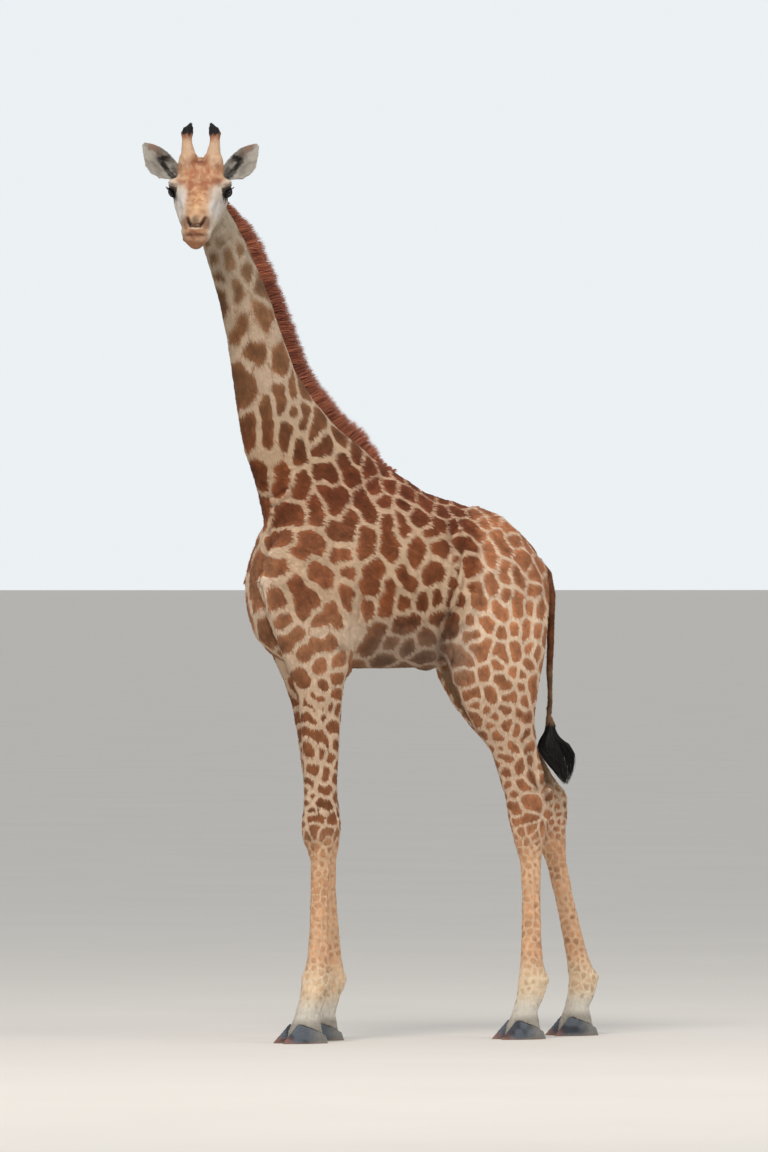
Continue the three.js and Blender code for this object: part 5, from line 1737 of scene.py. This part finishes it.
def smooth_copy(name, nodes, voxel, rounds):
    obj = remeshed(name, nodes, voxel)
    mesh = obj.data
    points = relaxed(get_points(mesh), get_edges(mesh), np.full(len(mesh.vertices), 0.9), rounds)
    set_points(mesh, points)
    set_smooth(mesh)
    return obj


HORN_LENGTH = 0.222
HORN_BACK = math.radians(36.0)
HORN_OUT = math.radians(2.0)
STEM_COLOUR = (206, 172, 142)


def horn_axis(side):
    axis = Vector((0.0, 0.0, 1.0))
    axis.rotate(Euler((0.0, side * HORN_OUT, 0.0)))
    axis.rotate(Euler((-HORN_BACK, 0.0, 0.0)))
    return HEAD_AXES @ np.array(axis), from_head(HORN_ROOT * (side, 1, 1))


def horn_share(points, side):
    axis, root = horn_axis(side)
    return (points - root) @ axis / HORN_LENGTH


HORN_HAIRS = 4200
HORN_BARE = 0.37  # share of the horn's length under which the skin covers it


def paint_horn(points, side):
    along = horn_share(points, side)
    warm = smooth(along + 0.06 * cloud(points, 0.015, 61), 0.60, 0.74)
    black = smooth(along + 0.05 * cloud(points, 0.010, 62), 0.735, 0.80)
    colour = plain(STEM_COLOUR, len(points))
    colour = tinted(colour, ((warm, (176, 126, 98), 1.0), (black, (34, 30, 32), 1.0)))
    return colour * (1.0 + 0.10 * cloud(points, 0.006, 63))[:, None]


def sink_horn(points, side):
    """Draw the horn's root in under the skin that runs up round it."""
    along = horn_share(points, side)
    axis, root = horn_axis(side)
    middle = root + (along * HORN_LENGTH)[:, None] * axis
    radial = points - middle
    radius = np.maximum(np.linalg.norm(radial, axis=1), 1e-6)
    sunk = 0.0026 * (1.0 - smooth(along, 0.34, 0.50)) + 0.012 * (1.0 - smooth(along, 0.08, 0.26))
    points = middle + radial * np.maximum(1.0 - sunk / radius, 0.0)[:, None]
    return points - (0.016 * (1.0 - smooth(along, 0.04, 0.28)))[:, None] * axis


def build_horn(label, side):
    obj = smooth_copy(f"horn_{label}", [f"ossicone_{label}"], 0.0028, 8)
    start = get_points(obj.data)
    points = sink_horn(start, side)
    set_points(obj.data, points)
    set_colour(obj.data, "paint", paint_horn(points, side))
    sample = Sample(obj.data, horn_share(start, side) > HORN_BARE, HORN_HAIRS)
    share = horn_share(sample.points, side)
    lean = (-0.35 * side * smooth(share, 0.8, 1.0))[:, None]
    ways = horn_axis(side)[0] + 0.15 * rng.normal(size=(HORN_HAIRS, 3)) + HEAD_AXES[:, 0] * lean
    tip = smooth(share, 0.62, 0.86)
    lengths = (0.008 + 0.005 * tip) * rng.uniform(0.7, 1.2, HORN_HAIRS)
    paint = varied(paint_horn(sample.points, side), 0.15)
    places = np.stack([rng.random(HORN_HAIRS), np.clip(share, 0, 1) * 0.9 + 0.05], -1)
    hair = tufts(f"horn_hair_{label}", sample.points, ways, sample.normals, lengths,
                 np.full(HORN_HAIRS, 0.0022), 0.0011 + 0.0012 * tip, places, {"paint": paint})
    return obj, hair


EAR_ROOT = np.array((0.087, 0.090, 0.014))
EAR_TURNS = {"left": (-8.0, -37.0, 26.0), "right": (-8.0, 37.0, -6.0)}
EAR_LENGTH = 0.235
FACE_DOWN = math.radians(38.0)


def ear_local(points, label, side):
    """Points in the ear's own frame: outwards, back and up from its root."""
    facing, rise, sweep = (math.radians(a) for a in EAR_TURNS[label])
    turn = (Euler((-FACE_DOWN, 0, 0)).to_matrix() @ Euler((0, 0, sweep)).to_matrix()
            @ Euler((0, rise, 0)).to_matrix() @ Euler((facing, 0, 0)).to_matrix())
    local = (to_head(points) - EAR_ROOT * (side, 1, 1)) @ np.array(turn)
    return local * (side, 1, 1)


# Marks inside the ear: a path along and across it, where each is full and where it ends, tint, strength.
EAR_MARKS = (
    # Painted shade under the ear's upper rim.
    (((0.125, 0.016, 0), (0.165, 0.022, 0), (0.200, 0.020, 0)), 0.006, 0.020, (122, 100, 86), 0.75),
    # A black mark, with painted shade under the rim.
    (((0.105, 0.030, 0), (0.122, 0.018, 0), (0.130, 0.002, 0)), 0.008, 0.018, (26, 22, 20), 0.95),
    (((0.130, 0.002, 0), (0.085, -0.014, 0), (0.028, -0.022, 0)), 0.006, 0.017, (24, 21, 20), 0.95),
    (((0.060, 0.004, 0), (0.020, -0.004, 0)), 0.004, 0.014, (74, 62, 52), 0.70),
    (((0.050, 0.030, 0), (0.095, 0.046, 0)), 0.003, 0.012, (188, 180, 170), 0.70),
)


EAR_HAIRS = 7500
EAR_BACK, EAR_FRONT = (160, 134, 110), (166, 158, 148)


def front_share(points, normals, label, side):
    """How far the ear's surface at each point looks forwards, in its own frame: negative is forwards."""
    return (ear_local(points + normals * 0.01, label, side) - ear_local(points, label, side))[:, 1]


def paint_ear(points, normals, label, side):
    local = ear_local(points, label, side)
    along, up = local[:, 0] / EAR_LENGTH, local[:, 2]
    front = smooth(-front_share(points, normals, label, side), -0.002, 0.004)
    inner = plain(EAR_FRONT, len(points))
    stir = 0.005 * cloud(points, 0.012, 71) + 0.003 * cloud(points, 0.005, 72)
    flat = np.stack([along * EAR_LENGTH, up, np.zeros(len(points))], -1)
    for path, near, far, tint, strength in EAR_MARKS:
        gap, _ = path_distance(flat, path)
        inner = tinted(inner, [(1 - smooth(gap + stir, near, far), tint, strength)])
    streaks = smooth(cloud(flat * (0.4, 1, 1), 0.010, 73), 0.1, 0.6)
    inner = tinted(inner, [(streaks, (120, 112, 104), 0.45)])
    colour = plain(EAR_BACK, len(points)) * (1.0 - front)[:, None] + inner * front[:, None]
    rim = smooth(up, 0.010, 0.030) * smooth(along, 0.62, 0.80)
    colour = tinted(colour, [(rim, (156, 118, 98), 0.6)])
    return colour * (1.0 + 0.06 * cloud(points, 0.008, 74))[:, None]


def build_ear(label, side):
    obj = smooth_copy(f"ear_{label}_skin", [f"ear_{label}"], 0.0022, 6)
    mesh = obj.data
    points, normals = get_points(mesh), get_normals(mesh)
    set_colour(mesh, "paint", paint_ear(points, normals, label, side))
    sample = Sample(mesh, np.ones(len(points), bool), EAR_HAIRS)
    local = ear_local(sample.points, label, side)
    outward = HEAD_AXES @ np.array((side, 0.1, 0.55))
    ways = outward + 0.22 * rng.normal(size=(EAR_HAIRS, 3))
    paint = varied(paint_ear(sample.points, sample.normals, label, side), 0.15)
    inside = (front_share(sample.points, sample.normals, label, side) < 0) & (local[:, 0] < 0.16)
    lengths = np.where(inside, 0.010, 0.0045) * rng.uniform(0.7, 1.3, EAR_HAIRS)
    lifts = np.where(inside, 0.0020, 0.0006) * rng.uniform(0.4, 1.2, EAR_HAIRS)
    places = np.stack([0.5 + local[:, 2] * 6, local[:, 0] / EAR_LENGTH], -1)
    hair = tufts(f"ear_hair_{label}", sample.points, ways, sample.normals, lengths,
                 np.full(EAR_HAIRS, 0.0021), lifts, np.clip(places, 0.02, 0.98), {"paint": paint})
    return obj, hair


def painted_material(name, roughness=0.75, bump=0.25):
    nodes = Nodes(name)
    speckle = nodes.fit(nodes.noise(600.0, 3.0, 0.6), 0.30, 0.70, 0.86, 1.12)
    nodes.bump(nodes.noise(800.0, 3.0, 0.6), bump, 0.0015)
    colour = nodes.scale(nodes.attribute("paint", "Color"), speckle)
    return nodes.finish(colour, roughness, sheen=0.05, specular=0.25)


HOOF_COLOUR = (86, 92, 100)


def paint_hoof(points, ahead):
    """Blue-grey horn, paler at the heel, reddish at the worn toe and dusty round the sole."""
    z = points[:, 2]
    toe = smooth(ahead, 0.72, 0.95) * (1 - smooth(z, 0.012, 0.045))
    colour = tinted(plain(HOOF_COLOUR, len(points)), (
        (smooth(cloud(points, 0.03, 82), -0.2, 0.6), (50, 54, 62), 1.0),
        (smooth(1 - ahead, 0.45, 0.8), (132, 128, 120), 0.8),
        (toe * (0.7 + 0.5 * cloud(points, 0.02, 83)), (158, 92, 66), 0.75),
        (1 - smooth(z, 0.0, 0.014), (150, 122, 102), 0.5)))
    return colour * (1.0 + 0.12 * cloud(points, 0.008, 84))[:, None]


def build_hoof(node):
    """A claw with fine growth rings round its wall."""
    obj = smooth_copy(node.replace("hoof", "claw"), [node], 0.0032, 5)
    mesh = obj.data
    points, normals = get_points(mesh), get_normals(mesh)
    low, high = (np.array(v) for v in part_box(node))
    ahead = (high[1] - points[:, 1]) / (high[1] - low[1])
    rings = np.sin((points[:, 2] - 0.30 * points[:, 1]) / 0.0019 + 2.0 * cloud(points, 0.03, 81))
    wall = smooth(points[:, 2], 0.004, 0.012)
    points = points + normals * (0.00045 * rings * wall)[:, None]
    points[:, 2] = np.maximum(points[:, 2], 0.0)
    set_points(mesh, points)
    set_colour(mesh, "paint", paint_hoof(points, ahead))
    return obj


LASHES = 90
LASH_LENGTH = 0.040


def build_lashes(label, side):
    centre, look, along, up = eye_axes(side)
    share = np.linspace(-0.92, 0.80, LASHES) + 0.02 * rng.normal(size=LASHES)
    height = np.sqrt(np.clip(1 - share ** 2, 0.02, 1)) / lid_point(share)
    way = lid_way(side, share, height)
    root = centre + way * (EYE_RADIUS + 0.002)
    outward = unit(way * 0.8 + look * 0.7 - up * 0.28 + along * (0.30 * share)[:, None]
                   + 0.10 * rng.normal(size=(LASHES, 3)))
    steps = np.linspace(0, 1, 5)
    length = LASH_LENGTH * rng.uniform(0.8, 1.15, LASHES) * (1.0 - 0.35 * np.abs(share))
    paths = root[:, None] + outward[:, None] * (steps[None] * length[:, None])[..., None]
    paths = paths + up * (0.010 * steps ** 2 - 0.004 * steps)[None, :, None]
    widths = np.full((LASHES, 1), 0.0017) * np.array((1.0, 0.9, 0.75, 0.5, 0.1))[None]
    places = np.full((LASHES, 2), 0.5)
    return locks(f"lashes_{label}", paths, widths, places, {"tone": rng.random(LASHES)}, flat=1.0)


# ------------------------------------------------------------------ floor, light and camera

SENSOR = 36.0


def build_camera():
    data = bpy.data.cameras.new("camera")
    data.sensor_width = SENSOR
    data.lens = FOCAL_PIXELS / PICTURE_HEIGHT * SENSOR
    data.shift_y = HORIZON_BELOW / PICTURE_HEIGHT
    data.clip_end = 9000.0
    camera = new_object("camera", data)
    camera.location = Vector(CAMERA_AT)
    camera.rotation_euler = (math.radians(90.0), 0.0, CAMERA_AZIMUTH)
    bpy.context.scene.camera = camera


def area_light(name, place, size, power, colour):
    data = bpy.data.lights.new(name, "AREA")
    data.shape = "DISK"
    data.size = size
    data.energy = power
    data.color = colour
    light = new_object(name, data)
    light.location = place
    light.rotation_euler = (Vector((0.0, 0.0, 2.2)) - Vector(place)).to_track_quat("-Z", "Y").to_euler()


FLOOR_HALF = 4000.0
SKY_LIGHT, SKY_SEEN = 0.72, 0.98  # strength of the sky as a light, and as it is seen


def build_stage():
    corners = [(-FLOOR_HALF, -FLOOR_HALF, 0.0), (FLOOR_HALF, -FLOOR_HALF, 0.0),
               (FLOOR_HALF, FLOOR_HALF, 0.0), (-FLOOR_HALF, FLOOR_HALF, 0.0)]
    floor = new_object("floor", mesh_from("floor", corners, [(0, 1, 2, 3)]))
    nodes = Nodes("floor")
    grey = nodes.mix(nodes.noise(0.7, 4.0), rgba(srgb(216, 208, 200)), rgba(srgb(224, 217, 209)))
    floor.data.materials.append(nodes.finish(grey, 0.9))
    world = bpy.data.worlds.new("sky")
    world.use_nodes = True
    back = world.node_tree.nodes["Background"]
    back.inputs["Color"].default_value = rgba(srgb(238, 243, 246))
    path = world.node_tree.nodes.new("ShaderNodeLightPath")
    strength = world.node_tree.nodes.new("ShaderNodeMapRange")
    strength.inputs["To Min"].default_value = SKY_LIGHT
    strength.inputs["To Max"].default_value = SKY_SEEN
    world.node_tree.links.new(path.outputs["Is Camera Ray"], strength.inputs["Value"])
    world.node_tree.links.new(strength.outputs["Result"], back.inputs["Strength"])
    bpy.context.scene.world = world
    area_light("key", (6.5, -6.0, 12.5), 5.0, 1010.0, (1.0, 0.97, 0.93))
    area_light("fill", (9.0, 7.0, 9.0), 8.0, 370.0, (1.0, 1.0, 1.0))
    bpy.context.scene.view_settings.view_transform = "Standard"


# ------------------------------------------------------------------ assembly

def keep(obj, material, slot, *nodes):
    """Give a piece its material and its body, and hide the nodes that it stands for; slot is not used."""
    obj.data.materials.clear()
    obj.data.materials.append(material)
    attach(obj, "root")
    if nodes:
        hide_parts(*nodes)


def eye_material():
    nodes = Nodes("eye")
    ahead = nodes.attribute("ahead", "Fac")
    pupil = nodes.fit(nodes.attribute("pupil", "Fac"), 0.90, 1.05)
    iris = nodes.mix(nodes.noise(900.0, 4.0), rgba(srgb(26, 16, 12)), rgba(srgb(52, 32, 20)))
    colour = nodes.mix(pupil, rgba(srgb(8, 6, 8)), iris)
    white = nodes.fit(ahead, 0.72, 0.62)
    colour = nodes.mix(white, colour, rgba(srgb(40, 30, 26)))
    return nodes.finish(colour, 0.14, coat=0.15, specular=0.25)


def lid_material():
    nodes = Nodes("lid")
    colour = nodes.mix(nodes.noise(400.0), rgba(srgb(26, 19, 16)), rgba(srgb(46, 34, 28)))
    nodes.bump(nodes.noise(900.0), 0.3, 0.001)
    return nodes.finish(colour, 0.75, specular=0.2)


def dress_body():
    """The skin with its markings, and the coat, mane and tail tuft that grow on it."""
    skin = build_skin()
    points = get_points(skin.data)
    owner = owners_of(points)
    axes = find_axes(points, owner)
    sight = Sight(skin.data)
    folds = [(sight.places(pixels), *rest) for pixels, *rest in FOLDS]
    shape_skin(skin.data, axes, folds)
    open_lids(skin.data)
    colours = mark_skin(skin.data, sight, folds)
    keep(skin, coat_material("skin_hair", 0.010, 0.25), "coat", *FLESH)
    tuft_hair = coat_material("tuft_hair", 0.006, 0.1)
    for piece in grow_coat(skin.data, axes, owner, colours):
        keep(piece, tuft_hair, "coat")
    mane_hair = hair_material("mane_hair", srgb(104, 42, 26), srgb(196, 118, 84), srgb(192, 118, 92))
    keep(build_mane(skin.data, axes), mane_hair, "mane", "mane_lower", "mane_upper")
    black = hair_material("tuft_hair_black", srgb(12, 10, 10), srgb(30, 25, 23), srgb(16, 13, 12), 0.4)
    keep(build_tail_tuft(), black, "tuft", "tail_tuft")


def dress_hooves():
    hoof_horn = painted_material("hoof_horn", 0.5, 0.4)
    for node in sorted(n for n in NODES if n.startswith("hoof")):
        keep(build_hoof(node), hoof_horn, "horn", node)


def dress_head():
    """The horns, ears, lashes, lids and eyes."""
    painted = painted_material("painted_hair")
    lash_hair = hair_material("lash_hair", srgb(10, 8, 8), srgb(22, 17, 15), srgb(14, 10, 10), 0.35)
    for label, side in SIDES:
        horn, horn_hair = build_horn(label, side)
        keep(horn, painted, "ossicone", f"ossicone_{label}")
        keep(horn_hair, painted, "ossicone")
        ear, ear_hair = build_ear(label, side)
        keep(ear, painted, "ear", f"ear_{label}")
        keep(ear_hair, painted, "ear")
        keep(build_lashes(label, side), lash_hair, "eye")
    lid_skin, eye_glass = lid_material(), eye_material()
    for label, side in SIDES:
        keep(build_lid(label, side), lid_skin, "coat")
        keep(build_eye(label, side), eye_glass, "eye", f"eye_{label}")


dress_body()
dress_hooves()
dress_head()
build_camera()
build_stage()
